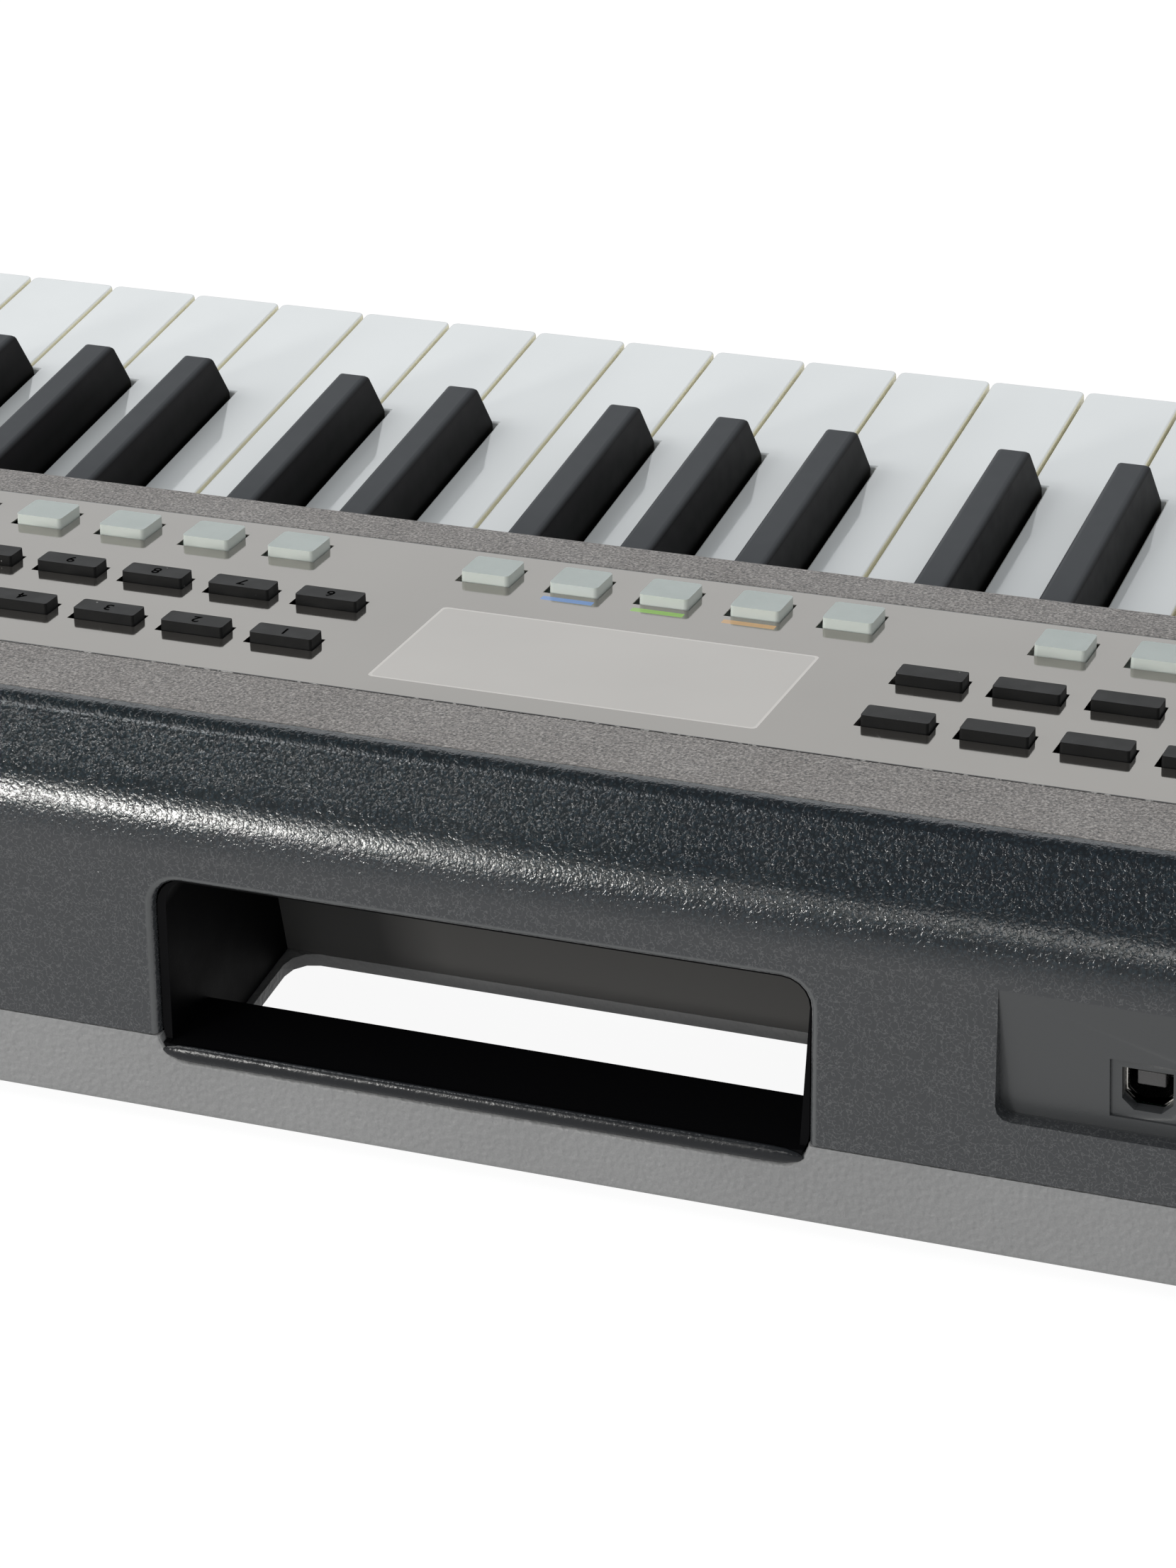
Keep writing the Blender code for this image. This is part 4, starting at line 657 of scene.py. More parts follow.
@dataclass(frozen=True)
class SocketMetal:
    """The plated shell of the USB socket, painted black behind its face as shade, with its grey tongue."""

    name: str = "socket_metal_finish"
    colour: Colour = (0.66, 0.64, 0.60)
    # Painted shade in the socket's depth.
    inside: Colour = (0.004, 0.004, 0.004)
    tongue: Colour = (0.07, 0.068, 0.068)
    face_y: float = 0.13893
    depth: float = 0.0009
    centre: Pair = (-0.1308, 0.0437)
    size: Pair = (0.0058, 0.0034)

    def material(self) -> bpy.types.Material:
        """Build the material."""
        shader = Shader(self.name)
        x, y, z = shader.parts(shader.place)
        flat = shader.node("ShaderNodeCombineXYZ")
        shader.feed(flat.inputs[0], x)
        shader.feed(flat.inputs[1], z)
        tongue = shader.tile(flat.outputs[0], self.centre, self.size, 0.0002, 0.0001)
        # Painted shade: everything deeper than the face takes the black inside colour and loses its metal.
        painted_depth_shade = shader.spread(y, self.face_y - self.depth, self.face_y - self.depth * 0.7, 1.0, 0.0)
        cover = shader.maths("MAXIMUM", tongue, painted_depth_shade)
        tone = shader.blend(painted_depth_shade, self.colour, self.inside)
        shader.set(Base_Color=shader.blend(tongue, tone, self.tongue),
                   Metallic=shader.maths("SUBTRACT", 1.0, cover),
                   Roughness=shader.spread(shader.noise(0.0006, 2), 0.3, 0.7, 0.2, 0.3),
                   Normal=shader.bump(shader.noise(0.0006, 1), 0.00001))
        return shader.material


@dataclass(frozen=True)
class CircuitBoard:
    """A green board with paler tracks."""

    name: str = "circuit_board_finish"
    colour: Colour = (0.02, 0.12, 0.055)
    track: Colour = (0.05, 0.23, 0.11)
    pitch: float = 0.0032

    def material(self) -> bpy.types.Material:
        """Build the material."""
        shader = Shader(self.name)
        lanes = shader.node("ShaderNodeTexBrick", offset=0.5)
        shader.feed(lanes.inputs["Vector"], shader.place)
        lanes.inputs["Scale"].default_value = 1.0 / self.pitch
        lanes.inputs["Mortar Size"].default_value = 0.08
        tone = shader.blend(lanes.outputs["Fac"], self.colour, self.track)
        shader.set(Base_Color=tone,
                   Roughness=shader.spread(shader.noise(0.01, 2), 0.3, 0.7, 0.35, 0.5),
                   Normal=shader.bump(lanes.outputs["Fac"], 0.00004))
        return shader.material


@dataclass(frozen=True)
class Felt:
    """Pressed wool felt."""

    name: str = "felt_finish"
    colour: Colour = (0.33, 0.05, 0.05)

    def material(self) -> bpy.types.Material:
        """Build the material."""
        shader = Shader(self.name)
        fibre = shader.noise(0.0007, 5, 0.75)
        shader.set(Base_Color=shader.blend(shader.spread(fibre, 0.35, 0.65), self.colour,
                                           darker(self.colour, 0.6)),
                   Roughness=shader.spread(fibre, 0.3, 0.7, 0.85, 1.0),
                   Sheen_Weight=0.4,
                   Normal=shader.bump(fibre, 0.0003))
        return shader.material


EdgeTest = Callable[[bmesh.types.BMEdge], bool]
Shaper = Callable[[bmesh.types.BMesh], None]


def outline_of(node: str) -> bmesh.types.BMesh:
    """Return a node's shape as a bmesh, with its corners merged and its flat faces whole."""
    bm = bmesh.new()
    bm.from_mesh(frame["nodes"][node].data)
    bmesh.ops.remove_doubles(bm, verts=bm.verts[:], dist=MERGE_DISTANCE)
    bmesh.ops.dissolve_limit(bm, angle_limit=FLAT_ANGLE, verts=bm.verts[:], edges=bm.edges[:])
    return bm


def round_edges(bm: bmesh.types.BMesh, test: EdgeTest, width: float, segments: int = 4) -> None:
    """Round the edges that pass a test.

    Args:
        bm: The shape.
        test: Tells whether an edge is rounded.
        width: The rounding's width.
        segments: Its number of steps.
    """
    chosen = [edge for edge in bm.edges if test(edge)]
    bmesh.ops.bevel(bm, geom=chosen, offset=width, offset_type="OFFSET", affect="EDGES", segments=segments,
                    profile=0.5, material=-1, clamp_overlap=True)


def low_z(edge: bmesh.types.BMEdge) -> float:
    """Return the lower Z of an edge's two ends."""
    return min(vert.co.z for vert in edge.verts)


def high_y(edge: bmesh.types.BMEdge) -> float:
    """Return the higher Y of an edge's two ends."""
    return max(vert.co.y for vert in edge.verts)


def span(edge: bmesh.types.BMEdge, axis: Axis) -> float:
    """Return how far an edge runs along an axis."""
    return abs(edge.verts[0].co[axis.value] - edge.verts[1].co[axis.value])


def block(centre: Point, size: Point) -> bmesh.types.BMesh:
    """Return a block by its middle and its size."""
    bm = bmesh.new()
    bmesh.ops.create_cube(bm, size=1.0, matrix=Matrix.Translation(centre) @ Matrix.Diagonal((*size, 1.0)))
    return bm


def disc(centre: Point, radius: float, height: float, steps: int = 40) -> bmesh.types.BMesh:
    """Return an upright cylinder by its middle, radius and height."""
    bm = bmesh.new()
    bmesh.ops.create_cone(bm, cap_ends=True, segments=steps, radius1=radius, radius2=radius, depth=height,
                          matrix=Matrix.Translation(centre))
    return bm


def ring(centre: Point, inner: float, outer: float, depth: float, steps: int = 48) -> bmesh.types.BMesh:
    """Return a ring whose axis lies along Y, by the middle of its rear face."""
    bm = bmesh.new()
    section = ((inner, 0.0), (outer, 0.0), (outer, -depth), (inner, -depth))
    corners = [bm.verts.new((centre[0] + radius, centre[1] + y, centre[2])) for radius, y in section]
    edges = [bm.edges.new((corner, corners[(index + 1) % 4])) for index, corner in enumerate(corners)]
    bmesh.ops.spin(bm, geom=corners + edges, cent=centre, axis=(0.0, 1.0, 0.0), angle=2 * math.pi, steps=steps)
    bmesh.ops.remove_doubles(bm, verts=bm.verts[:], dist=MERGE_DISTANCE)
    bmesh.ops.recalc_face_normals(bm, faces=bm.faces[:])
    return bm


@dataclass
class Workshop:
    """The finishes by slot, and the ways in which a piece is added."""

    finishes: dict[Slot, bpy.types.Material]

    def body_of(self, node: str) -> str:
        """Return the body that a node belongs to."""
        for body, nodes in frame["record"]["behaviour"]["bodies"].items():
            if node in nodes:
                return body
        return CASE

    def slot_of(self, node: str) -> Slot:
        """Return the slot that the record gives a node."""
        for part in frame["record"]["subparts"]:
            if part["node"] == node:
                return Slot(part["material_slot"])
        return Slot.FRAME_PLASTIC

    def soften(self, piece: bpy.types.Object, width: float, segments: int) -> None:
        """Shade a piece smooth, and round its edges where a width is given."""
        for face in piece.data.polygons:
            face.use_smooth = True
        if width:
            bevel = piece.modifiers.new("edges", "BEVEL")
            bevel.width = width
            bevel.segments = segments
            bevel.limit_method = "ANGLE"
            bevel.angle_limit = EDGE_ANGLE
        shading = piece.modifiers.new("shading", "WEIGHTED_NORMAL")
        shading.mode = "FACE_AREA"
        shading.weight = FACE_WEIGHT
        shading.thresh = FACE_THRESHOLD
        shading.keep_sharp = True

    def link(self, bm: bmesh.types.BMesh, name: str, finish: bpy.types.Material) -> bpy.types.Object:
        """Turn a bmesh into a linked piece with a finish."""
        mesh = bpy.data.meshes.new(name)
        bm.to_mesh(mesh)
        bm.free()
        mesh.materials.append(finish)
        piece = bpy.data.objects.new(name, mesh)
        bpy.context.scene.collection.objects.link(piece)
        return piece

    def dress(self, node: str, edge: float, segments: int = 3, shape: Shaper | None = None) -> bpy.types.Object:
        """Replace a node by its own shape with rounded edges and the finish of its slot.

        Args:
            node: The CAD node.
            edge: The width of the rounded edges.
            segments: The steps of the rounding.
            shape: Shapes the copy before its edges are rounded.

        Returns:
            The piece.
        """
        slot = self.slot_of(node)
        bm = outline_of(node)
        if shape:
            shape(bm)
        piece = self.link(bm, node + "_skin", self.finishes[slot])
        self.soften(piece, edge, segments)
        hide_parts(node)
        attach(piece, self.body_of(node))
        log.info("%s built", piece.name)
        return piece

    def add(self, bm: bmesh.types.BMesh, name: str, body: str, slot: Slot, edge: float = 0.0,
            segments: int = 2, finish: bpy.types.Material | None = None) -> bpy.types.Object:
        """Add a small piece of its own.

        Args:
            bm: The shape, in place.
            name: The piece's name.
            body: The body that it rides on.
            slot: The slot of its finish.
            edge: The width of its rounded edges.
            segments: The steps of the rounding.
            finish: A finish other than the slot's usual one.

        Returns:
            The piece.
        """
        piece = self.link(bm, name, finish or self.finishes[slot])
        self.soften(piece, edge, segments)
        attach(piece, body)
        log.info("%s built", name)
        return piece

    def paint(self, node: str) -> None:
        """Give a node that stays as it is the finish of its slot."""
        mesh = frame["nodes"][node].data
        mesh.materials.clear()
        mesh.materials.append(self.finishes[self.slot_of(node)])


REAR_FOOT_Y = 0.149828
REAR_FOOT_Z = 0.004
WALL_LEAN = math.radians(7.5)


def off_rear_wall(point: Vector) -> float:
    """Return how far a point lies from the rear wall's face."""
    return abs(point.y - (REAR_FOOT_Y - (point.z - REAR_FOOT_Z) * math.tan(WALL_LEAN)))


@dataclass
class CaseShells:
    """The black upper case and the grey lower case."""

    upper_edge: float = 0.0007
    lower_edge: float = 0.0006
    opening_x: Pair = (-0.0660, 0.0756)
    opening_top: float = 0.0575
    opening_round: float = 0.0017
    notch_round: float = 0.0010
    recess_x: Pair = (-0.2625, -0.1016)
    recess_z: Pair = (0.0330, 0.0645)
    recess_floor: float = 0.1423
    end_cuts: Pair = (-0.455, 0.455)
    recess_edge: float = 0.0008
    recess_fillet: float = 0.0016

    def on_opening(self, edge: bmesh.types.BMEdge) -> bool:
        """Tell whether an edge is part of the handle opening's outer outline."""
        return all(off_rear_wall(v.co) < 0.0004 and self.opening_x[0] < v.co.x < self.opening_x[1]
                   and 0.0045 < v.co.z < self.opening_top for v in edge.verts)

    def in_recess(self, edge: bmesh.types.BMEdge) -> bool:
        """Tell whether an edge lies in the socket recess."""
        return all(self.recess_x[0] < v.co.x < self.recess_x[1] and self.recess_z[0] < v.co.z < self.recess_z[1]
                   and v.co.y > self.recess_floor - 0.0003 for v in edge.verts)

    def upper_shape(self, bm: bmesh.types.BMesh) -> None:
        """Round the outline of the handle opening and the outline and floor of the socket recess."""
        round_edges(bm, self.on_opening, self.opening_round)
        round_edges(bm, lambda e: self.in_recess(e) and all(off_rear_wall(v.co) < 0.0004 for v in e.verts),
                    self.recess_edge, 3)
        round_edges(bm, lambda e: self.in_recess(e) and high_y(e) < self.recess_floor + 0.0003
                    and self.outline_of_floor(e), self.recess_fillet)
        for x in self.end_cuts:
            bmesh.ops.bisect_plane(bm, geom=[*bm.verts, *bm.edges, *bm.faces], dist=1e-7, plane_co=(x, 0.0, 0.0),
                                   plane_no=(1.0, 0.0, 0.0))

    def outline_of_floor(self, edge: bmesh.types.BMEdge) -> bool:
        """Tell whether an edge lies on the outline of the recess floor rather than round a socket."""
        return all(min(v.co.x - self.recess_x[0], self.recess_x[1] - v.co.x, v.co.z - self.recess_z[0]) < 0.0032
                   for v in edge.verts)

    def lower_shape(self, bm: bmesh.types.BMesh) -> None:
        """Round the outline of the notch under the handle's lip."""
        round_edges(bm, self.on_opening, self.notch_round, 3)

    def build(self, shop: Workshop) -> None:
        """Dress both shells."""
        shop.dress("upper_case", self.upper_edge, 3, self.upper_shape)
        shop.dress("lower_case", self.lower_edge, 3, self.lower_shape)


@dataclass
class Handle:
    """The tunnel of the carrying handle with its rolled lip."""

    edge: float = 0.0005
    roll_centre: Pair = (0.1480, 0.0186)
    roll_radii: Pair = (0.0011, 0.0018)
    roll_steps: int = 12
    roll_stations: tuple[Pair, ...] = ((-0.0640, 0.15), (-0.0630, 0.55), (-0.0605, 0.9), (-0.0575, 1.0),
                                       (0.0669, 1.0), (0.0699, 0.9), (0.0724, 0.55), (0.0734, 0.15))
    wall_slope: float = 0.13
    mouth_y: float = 0.1412
    mouth_x: Pair = (-0.0586, 0.0680)
    mouth_z: float = 0.0500
    mouth_corner: float = 0.0041
    mouth_reach: float = 0.0018
    lip_finish: Moulded = Moulded("rolled_lip_finish", (0.006, 0.007, 0.009), 0.24, 0.0008, 0.00007, 0.4)

    def roll(self) -> bmesh.types.BMesh:
        """Return the rolled bead along the lip, whose ends taper."""
        bm = bmesh.new()
        rings = []
        for x, share in self.roll_stations:
            ring_verts = []
            for step in range(self.roll_steps + 1):
                turn = math.pi * (step / self.roll_steps - 0.5)
                rise = self.roll_radii[1] * share * math.sin(turn)
                face_y = self.roll_centre[0] - rise * self.wall_slope
                y = face_y + self.roll_radii[0] * share * math.cos(turn)
                ring_verts.append(bm.verts.new((x, y, self.roll_centre[1] + rise)))
            rings.append(ring_verts)
        for first, second in zip(rings, rings[1:]):
            for low in range(-1, self.roll_steps):
                bm.faces.new((first[low], first[low + 1], second[low + 1], second[low]))
        bm.faces.new(rings[0])
        bm.faces.new(rings[-1])
        bmesh.ops.recalc_face_normals(bm, faces=bm.faces)
        return bm

    def widen(self, bm: bmesh.types.BMesh) -> None:
        """Draw the mouth's inner edge out to the case along its top and round its bass corner."""
        for vert in bm.verts:
            x, y, z = vert.co
            past = x - min(max(x, self.mouth_x[0]), self.mouth_x[1])
            rise = z - self.mouth_z
            if y > self.mouth_y and rise > -0.0001 and math.hypot(past, rise) < self.mouth_corner + 0.0004:
                vert.co.z += self.mouth_reach * rise / self.mouth_corner
                vert.co.x += self.mouth_reach * min(past, 0.0) / self.mouth_corner

    def build(self, shop: Workshop) -> None:
        """Dress the tunnel, and lay the bead along its lip."""
        shop.dress("handle_insert", self.edge, 3, self.widen)
        shop.add(self.roll(), "lip_roll", CASE, Slot.GLOSS_BLACK, finish=self.lip_finish.material())


@dataclass
class Keys:
    """White and black keys, single or in combs."""

    front: float = -0.125339
    corner: float = 0.0016
    white_edge: float = 0.0007
    black_foot: float = 0.0555
    black_edge: float = 0.0005
    black_round: float = 0.0013

    def white_shape(self, bm: bmesh.types.BMesh) -> None:
        """Round the upright corners at the fronts of white keys."""
        round_edges(bm, lambda e: high_y(e) < self.front + 0.0001 and span(e, Axis.Z) > 0.01
                    and span(e, Axis.X) < 0.0001, self.corner)

    def black_shape(self, bm: bmesh.types.BMesh) -> None:
        """Round the upper edges and the noses of black keys."""
        round_edges(bm, lambda e: e.calc_face_angle(0.0) > EDGE_ANGLE and low_z(e) > self.black_foot,
                    self.black_round)

    def build(self, shop: Workshop) -> None:
        """Dress every key and comb."""
        for part in frame["record"]["subparts"]:
            node = part["node"]
            if shop.slot_of(node) is Slot.WHITE_KEY:
                shop.dress(node, self.white_edge, 3, self.white_shape)
            elif shop.slot_of(node) is Slot.BLACK_KEY:
                shop.dress(node, self.black_edge, 2, self.black_shape)


@dataclass
class ControlPanel:
    """The taupe plate with its film, display and speakers."""

    plate_edge: float = 0.0005
    film_edge: float = 0.00012

    def build(self, shop: Workshop) -> None:
        """Dress the plate and paint what lies in and under it."""
        shop.dress("control_panel", self.plate_edge, 2)
        shop.dress("panel_film", self.film_edge, 2)
        for node in ("display_module", "bass_speaker", "treble_speaker", "panel_board"):
            shop.paint(node)


@dataclass
class Buttons:
    """The rows of pale buttons, the two rubber keypads with engraved numbers drawn in painted shade, and the power
    button.
    """

    pale_edge: float = 0.0005
    pale_corner: float = 0.0010
    rubber_edge: float = 0.0005
    rubber_corner: float = 0.0012
    upright: float = 0.0030
    first_x: float = 0.0685
    pitch: float = 0.0204
    rows: Pair = (0.0636, 0.0403)
    rise: float = 0.0022
    lift: float = 0.00003
    digit_size: float = 0.0042
    digit_depth: float = 0.00004
    engraved: bpy.types.Material | None = field(default=None)

    def digit(self, text: str, x: float, v: float) -> bmesh.types.BMesh:
        """Return one number lying on a pad, read from the player's side."""
        curve = bpy.data.curves.new("digit", "FONT")
        curve.body = text
        curve.size = self.digit_size
        curve.align_x = "CENTER"
        curve.align_y = "CENTER"
        curve.extrude = self.digit_depth
        curve.resolution_u = 3
        made = bpy.data.objects.new("digit", curve)
        bpy.context.scene.collection.objects.link(made)
        bpy.context.view_layer.update()
        mesh = bpy.data.meshes.new_from_object(made)
        bpy.data.objects.remove(made)
        mesh.transform(PANEL.matrix() @ Matrix.Translation((x, v, self.rise + self.lift)))
        bm = bmesh.new()
        bm.from_mesh(mesh)
        bpy.data.meshes.remove(mesh)
        return bm

    def corners(self, radius: float) -> Shaper:
        """Return a shaper that rounds the upright corners of the caps."""
        def shape(bm: bmesh.types.BMesh) -> None:
            round_edges(bm, lambda e: span(e, Axis.Z) > self.upright and span(e, Axis.X) < 0.001, radius)
        return shape

    def build(self, shop: Workshop) -> None:
        """Dress the buttons and number the pads."""
        for node in ("bass_button_row", "middle_button_row", "treble_button_row"):
            shop.dress(node, self.pale_edge, 3, self.corners(self.pale_corner))
        for node in ("number_keypad", "function_keypad"):
            shop.dress(node, self.rubber_edge, 3, self.corners(self.rubber_corner))
        shop.dress("power_button", self.rubber_edge, 3)
        # The engraved numbers are flat near-black marks: painted shade of the engraving.
        painted_engraving_shade = Moulded("engraving_finish", (0.003, 0.003, 0.003), 0.7, 0.0006, 0.00001, 0.0).material()
        for row, v in enumerate(self.rows):
            for column in range(5):
                number = (row * 5 + column + 1) % 10
                shop.add(self.digit(str(number), self.first_x + column * self.pitch, v), f"digit_{number}",
                         "number_keypad", Slot.RUBBER, finish=painted_engraving_shade)


@dataclass
class Sockets:
    """The sockets in the rear recess."""

    edge: float = 0.0003
    face_y: float = 0.14204
    centre_z: float = 0.0453
    proud: float = 0.00012
    ring_depth: float = 0.0005
    jack_bore: float = 0.00325
    jack_ring: float = 0.0042
    jacks_x: Pair = (-0.163, -0.195)
    pin_x: float = -0.232
    pin_radius: float = 0.00095
    pin_length: float = 0.008

    def build(self, shop: Workshop) -> None:
        """Dress the sockets and ring the jacks."""
        for node in ("usb_socket", "pedal_jack", "phones_jack", "dc_socket"):
            shop.dress(node, self.edge, 2)
        plated = BrushedMetal("plated_ring_finish", (0.62, 0.61, 0.58)).material()
        for name, x in zip(("pedal", "phones"), self.jacks_x):
            made = ring((x, self.face_y + self.proud, self.centre_z), self.jack_bore, self.jack_ring, self.ring_depth)
            shop.add(made, f"{name}_ring", CASE, Slot.STEEL, 0.0001, finish=plated)


@dataclass
class Underside:
    """The feet and the battery cover."""

    foot_edge: float = 0.0008
    cover_edge: float = 0.0004
    bottom: float = 0.004
    screws_x: tuple[float, ...] = (-0.390, -0.130, 0.130, 0.390)
    screws_y: Pair = (-0.08134, 0.00066)
    screw_radius: float = 0.0027
    screw_height: float = 0.0012
    screw_top: float = 0.0058
    slot_size: Pair = (0.0030, 0.0006)
    slot_depth: float = 0.00016
    ribs: int = 5
    rib_pitch: float = 0.0022
    rib_size: Point = (0.026, 0.0011, 0.0004)
    ribs_place: Pair = (0.1825, 0.0812)
    label_place: Pair = (-0.20, 0.02)
    label_size: Point = (0.088, 0.052, 0.0001)

    def screws(self, shop: Workshop) -> None:
        """Put a cross-head screw in each well of the bottom."""
        metal = BrushedMetal("screw_finish", (0.42, 0.41, 0.39), 0.3).material()
        shade = Moulded("painted_screw_slot_shade", (0.01, 0.01, 0.01), 0.6, 0.0006, 0.00001, 0.1).material()
        low = self.screw_top - self.screw_height
        for column, x in enumerate(self.screws_x):
            for row, y in enumerate(self.screws_y):
                name = f"screw_{column}_{row}"
                head = disc((x, y, low + self.screw_height / 2), self.screw_radius, self.screw_height)
                shop.add(head, name, CASE, Slot.STEEL, 0.0004, 3, metal)
                # The cross slots are thin black slabs on the head: painted shade of the recessed slots.
                for turn, size in enumerate((self.slot_size, self.slot_size[::-1])):
                    cross = block((x, y, low), (*size, self.slot_depth))
                    shop.add(cross, f"{name}_slot_{turn}", CASE, Slot.STEEL, finish=shade)

    def build(self, shop: Workshop) -> None:
        """Dress the feet and the battery cover, and add the screws, the cover's grip and a plain label."""
        for end in ("bass", "treble"):
            for side in ("front", "rear"):
                shop.dress(f"{side}_{end}_foot", self.foot_edge, 3)
        shop.dress("battery_cover", self.cover_edge, 2)
        for index in range(self.ribs):
            place = (self.ribs_place[0], self.ribs_place[1] + index * self.rib_pitch, self.bottom)
            shop.add(block(place, self.rib_size), f"cover_rib_{index}", shop.body_of("battery_cover"),
                     Slot.GREY_CASE, 0.00015)
        self.screws(shop)
        plain = Moulded("plain_label_finish", (0.46, 0.46, 0.45), 0.35, 0.002, 0.00001).material()
        shop.add(block((*self.label_place, self.bottom), self.label_size), "plain_label", CASE, Slot.GREY_CASE,
                 finish=plain)


@dataclass
class Inside:
    """What shows only between the keys or through an opening."""

    def build(self, shop: Workshop) -> None:
        """Paint the inner pieces."""
        for node in ("main_board", "key_frame", "contact_board", "contact_strip", "key_felt"):
            shop.paint(node)


@dataclass
class Studio:
    """The camera of the photograph, the floor and the lamps."""

    camera_place: Point = (-0.3029, 0.8249, 0.5331)
    camera_right: Point = (-0.9352, -0.3497, -0.0554)
    camera_up: Point = (0.1349, -0.4967, 0.8574)
    camera_back: Point = (-0.3274, 0.7943, 0.5117)
    lens: float = 103.9
    sensor: float = 36.0
    floor_glow: float = 0.93
    floor_sheen: float = 0.70
    sky: float = 0.61
    haze_low: float = 0.265
    haze_high: float = 0.61
    zenith: float = 0.22
    panel_glow: float = 1.15
    panel_rise: Pair = (0.35, 0.41)
    panel_fall: Pair = (0.56, 0.66)
    room: float = 0.28
    horizon: float = 0.55
    horizon_top: float = 0.28
    wall_front: float = -0.25
    wall_back: float = 0.25
    sky_colour: Colour = (0.96, 0.985, 1.0)

    def camera(self) -> None:
        """Make the camera at the photograph's place."""
        data = bpy.data.cameras.new("camera")
        data.lens = self.lens
        data.sensor_fit = "VERTICAL"
        data.sensor_height = self.sensor
        data.clip_start = 0.01
        made = bpy.data.objects.new("camera", data)
        bpy.context.scene.collection.objects.link(made)
        axes = Matrix((self.camera_right, self.camera_up, self.camera_back)).transposed()
        made.matrix_world = Matrix.Translation(self.camera_place) @ axes.to_4x4()
        bpy.context.scene.camera = made

    def lamp(self, name: str, place: Point, target: Point, size: Pair, power: float, colour: Colour) -> None:
        """Add one soft rectangular lamp aimed at a point."""
        data = bpy.data.lights.new(name, "AREA")
        data.shape = "RECTANGLE"
        data.size, data.size_y = size
        data.energy = power
        data.color = colour
        made = bpy.data.objects.new(name, data)
        bpy.context.scene.collection.objects.link(made)
        made.location = place
        made.rotation_euler = (Vector(target) - Vector(place)).to_track_quat("-Z", "Y").to_euler()

    def floor(self) -> None:
        """Make the pale floor, which keeps the object's shadow."""
        bm = bmesh.new()
        bmesh.ops.create_grid(bm, x_segments=1, y_segments=1, size=6.0)
        mesh = bpy.data.meshes.new("floor")
        bm.to_mesh(mesh)
        bm.free()
        made = bpy.data.objects.new("floor", mesh)
        bpy.context.scene.collection.objects.link(made)
        shader = Shader("pale_floor")
        path = shader.node("ShaderNodeLightPath")
        seen = path.outputs["Is Camera Ray"]
        mirrored = shader.maths("MAXIMUM", path.outputs["Is Glossy Ray"], path.outputs["Is Transmission Ray"])
        paper = shader.blend(mirrored, (0.85, 0.85, 0.85), (0.0, 0.0, 0.0))
        glow = shader.maths("MULTIPLY_ADD", seen, self.floor_glow,
                            shader.maths("MULTIPLY", mirrored, self.floor_sheen))
        shader.set(Base_Color=shader.blend(seen, paper, (0.13, 0.13, 0.13)), Roughness=0.9,
                   Specular_IOR_Level=0.0, Emission_Color=(1.0, 1.0, 1.0, 1.0), Emission_Strength=glow)
        mesh.materials.append(shader.material)

    def world(self) -> None:
        """Light the scene evenly, show white behind it, and let gloss see a pale wall under a dim ceiling."""
        world = bpy.data.worlds.new("studio")
        bpy.context.scene.world = world
        world.use_nodes = True
        tree = world.node_tree
        path = tree.nodes.new("ShaderNodeLightPath")
        split = tree.nodes.new("ShaderNodeSeparateXYZ")
        tree.links.new(tree.nodes.new("ShaderNodeTexCoord").outputs["Generated"], split.inputs[0])
        fade = tree.nodes.new("ShaderNodeMapRange")
        fade.interpolation_type = "SMOOTHSTEP"
        for name, number in (("From Min", self.haze_low), ("From Max", self.haze_high), ("To Min", 1.0),
                             ("To Max", self.zenith)):
            fade.inputs[name].default_value = number
        tree.links.new(split.outputs["Z"], fade.inputs["Value"])
        panel = fade.outputs["Result"]
        for (low, high), share in ((self.panel_rise, self.panel_glow), (self.panel_fall, -self.panel_glow)):
            step = tree.nodes.new("ShaderNodeMapRange")
            step.interpolation_type = "SMOOTHSTEP"
            for name, number in (("From Min", low), ("From Max", high), ("To Max", share)):
                step.inputs[name].default_value = number
            tree.links.new(split.outputs["Z"], step.inputs["Value"])
            total = tree.nodes.new("ShaderNodeMath")
            tree.links.new(panel, total.inputs[0])
            tree.links.new(step.outputs["Result"], total.inputs[1])
            panel = total.outputs[0]
        around = tree.nodes.new("ShaderNodeMapRange")
        around.interpolation_type = "SMOOTHSTEP"
        for name, number in (("From Min", self.wall_front), ("From Max", self.wall_back)):
            around.inputs[name].default_value = number
        rear = tree.nodes.new("ShaderNodeMapRange")
        for name, number in (("From Min", 0.0), ("From Max", self.horizon_top), ("To Min", self.horizon),
                             ("To Max", self.room)):
            rear.inputs[name].default_value = number
        tree.links.new(split.outputs["Z"], rear.inputs["Value"])
        tree.links.new(rear.outputs["Result"], around.inputs["To Max"])
        tree.links.new(split.outputs["Y"], around.inputs["Value"])
        tree.links.new(panel, around.inputs["To Min"])
        strength = self.sky
        for ray, value in (("Is Glossy Ray", around.outputs["Result"]),
                           ("Is Transmission Ray", around.outputs["Result"]),
                           ("Is Camera Ray", 1.0)):
            mix = tree.nodes.new("ShaderNodeMix")
            tree.links.new(path.outputs[ray], mix.inputs["Factor"])
            for socket, item in ((mix.inputs["A"], strength), (mix.inputs["B"], value)):
                if isinstance(item, float):
                    socket.default_value = item
                else:
                    tree.links.new(item, socket)
            strength = mix.outputs["Result"]
        back = tree.nodes["Background"]
        tree.links.new(strength, back.inputs["Strength"])
        hue = tree.nodes.new("ShaderNodeMix")
        hue.data_type = "RGBA"
        tree.links.new(path.outputs["Is Camera Ray"], hue.inputs["Factor"])
        hue.inputs["A"].default_value = (*self.sky_colour, 1.0)
        hue.inputs["B"].default_value = (1.0, 1.0, 1.0, 1.0)
        tree.links.new(hue.outputs["Result"], back.inputs["Color"])

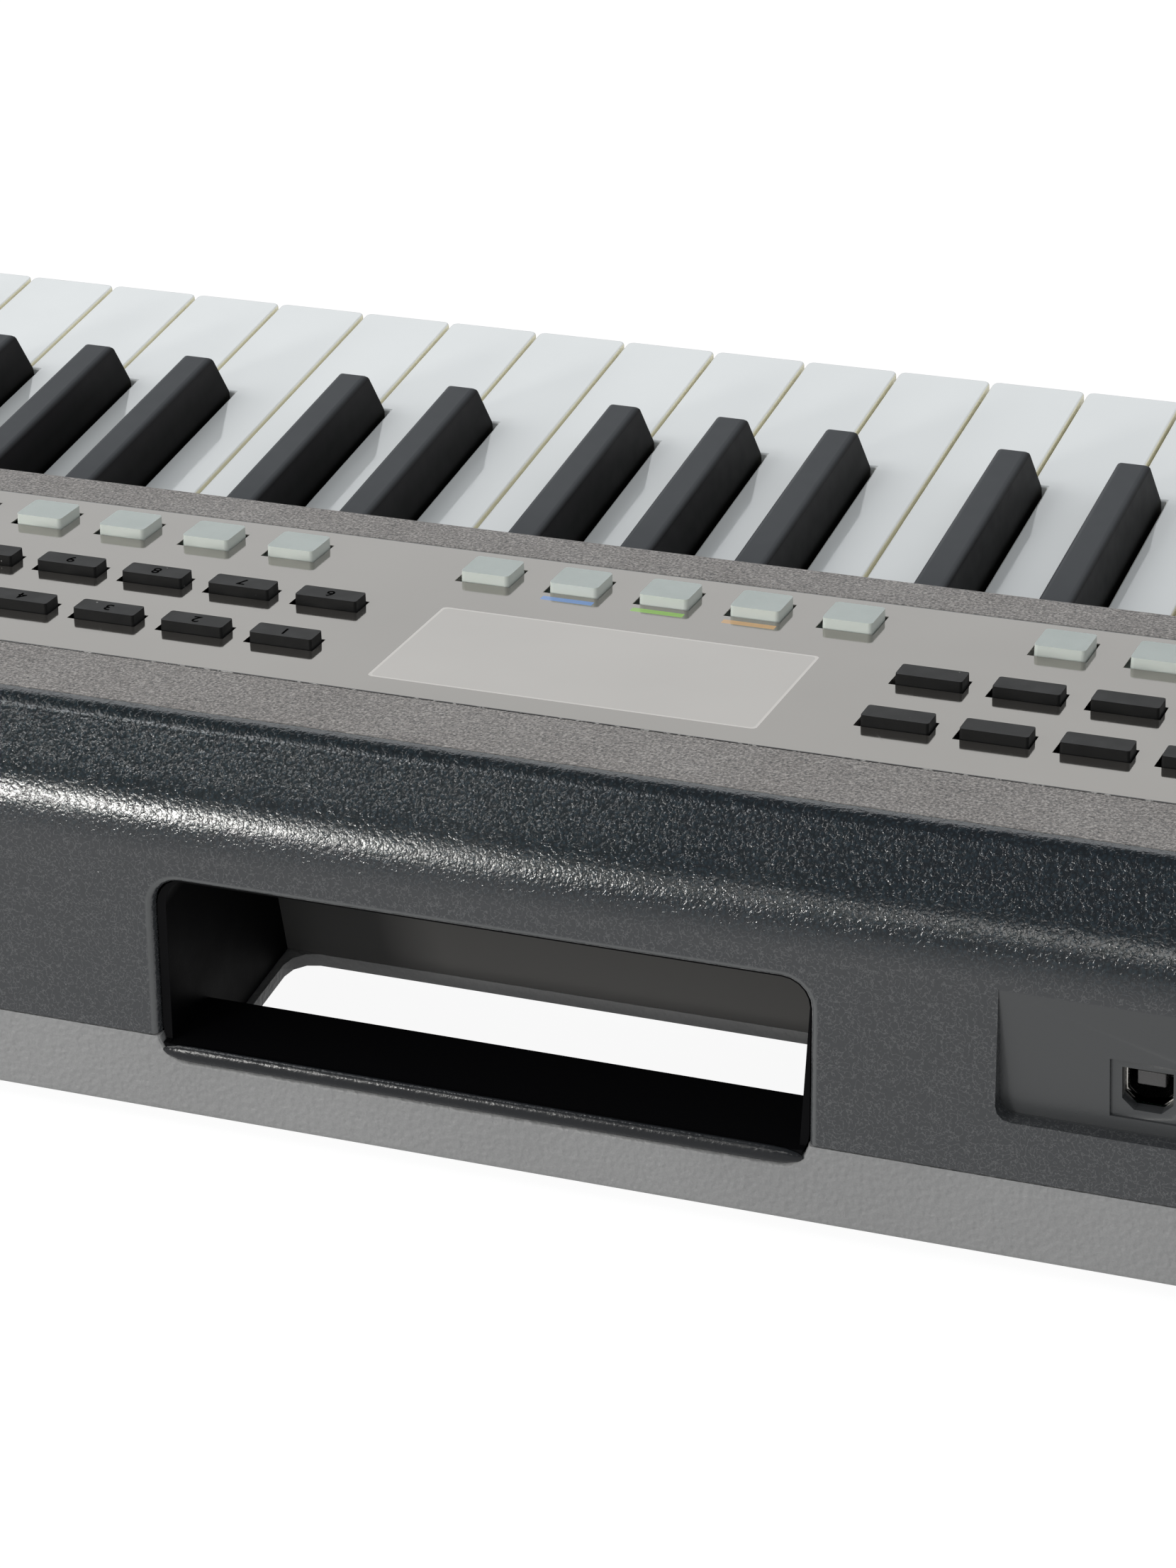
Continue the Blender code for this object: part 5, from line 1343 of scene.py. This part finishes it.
    def build(self) -> None:
        """Set the stage."""
        self.camera()
        self.floor()
        self.world()
        self.lamp("key", (1.2, 0.5, 1.15), (0.0, 0.0, 0.0), (0.8, 0.8), 6.0, (1.0, 0.985, 0.96))
        self.lamp("low", (0.87, 1.58, 0.455), (0.0, 0.1, 0.05), (0.34, 0.2), 11.0, (1.0, 0.985, 0.95))
        self.lamp("rear", (0.2, 1.9, 0.85), (0.0, 0.1, 0.05), (0.4, 0.28), 2.0, (1.0, 0.985, 0.95))
        self.lamp("glint", (0.9, 1.0, 1.6), (0.0, 0.1, 0.05), (0.3, 0.3), 3.0, (0.95, 0.98, 1.0))


MIDDLE_BARS = (Print((0.0013 + 0.0204, 0.0220), (0.0118, 0.0022), (0.16, 0.30, 0.62)),
               Print((0.0013, 0.0220), (0.0118, 0.0022), (0.28, 0.52, 0.10)),
               Print((0.0013 - 0.0204, 0.0220), (0.0118, 0.0022), (0.60, 0.36, 0.16)))


def finishes() -> dict[Slot, bpy.types.Material]:
    """Build the finish of each slot."""
    return {
        Slot.BLACK_CASE: PebbledCase().material(),
        Slot.GREY_CASE: GreyBand().material(),
        Slot.TAUPE_PANEL: SandedPlate().material(),
        Slot.PANEL_FILM: MirrorFilm(bars=MIDDLE_BARS).material(),
        Slot.DISPLAY_GLASS: Moulded("display_glass_finish", (0.30, 0.31, 0.29), 0.12, 0.004, 0.00001).material(),
        Slot.GLOSS_BLACK: TunnelBlack().material(),
        # Key sides carry painted light: cream and bright on white keys, dark with painted shade at the foot on black
        # keys.
        Slot.WHITE_KEY: KeyGloss("white_key_finish", (0.725, 0.745, 0.75), (0.95, 0.92, 0.76), 0.05).material(),
        Slot.BLACK_KEY: KeyGloss("black_key_finish", (0.067, 0.071, 0.077), (0.012, 0.011, 0.012), 0.42, 0.06,
                                 foot=(0.0570, 0.0612), foot_shade=0.12).material(),
        Slot.PALE_BUTTON: PaleButton().material(),
        Slot.RUBBER: DustyRubber().material(),
        Slot.STEEL: SocketMetal().material(),
        Slot.BOARD: CircuitBoard().material(),
        Slot.FRAME_PLASTIC: Moulded("frame_finish", (0.03, 0.03, 0.032), 0.6, 0.0006, 0.00003).material(),
        Slot.FELT: Felt().material(),
    }


def main() -> None:
    """Build the studio and every sub-assembly."""
    logging.basicConfig(level=logging.INFO, format="%(message)s")
    Studio().build()
    shop = Workshop(finishes())
    for assembly in (CaseShells(), Handle(), Keys(), ControlPanel(), Buttons(), Sockets(), Underside(), Inside()):
        assembly.build(shop)
    bpy.context.scene.view_settings.view_transform = "Standard"


if __name__ == "__main__":
    main()
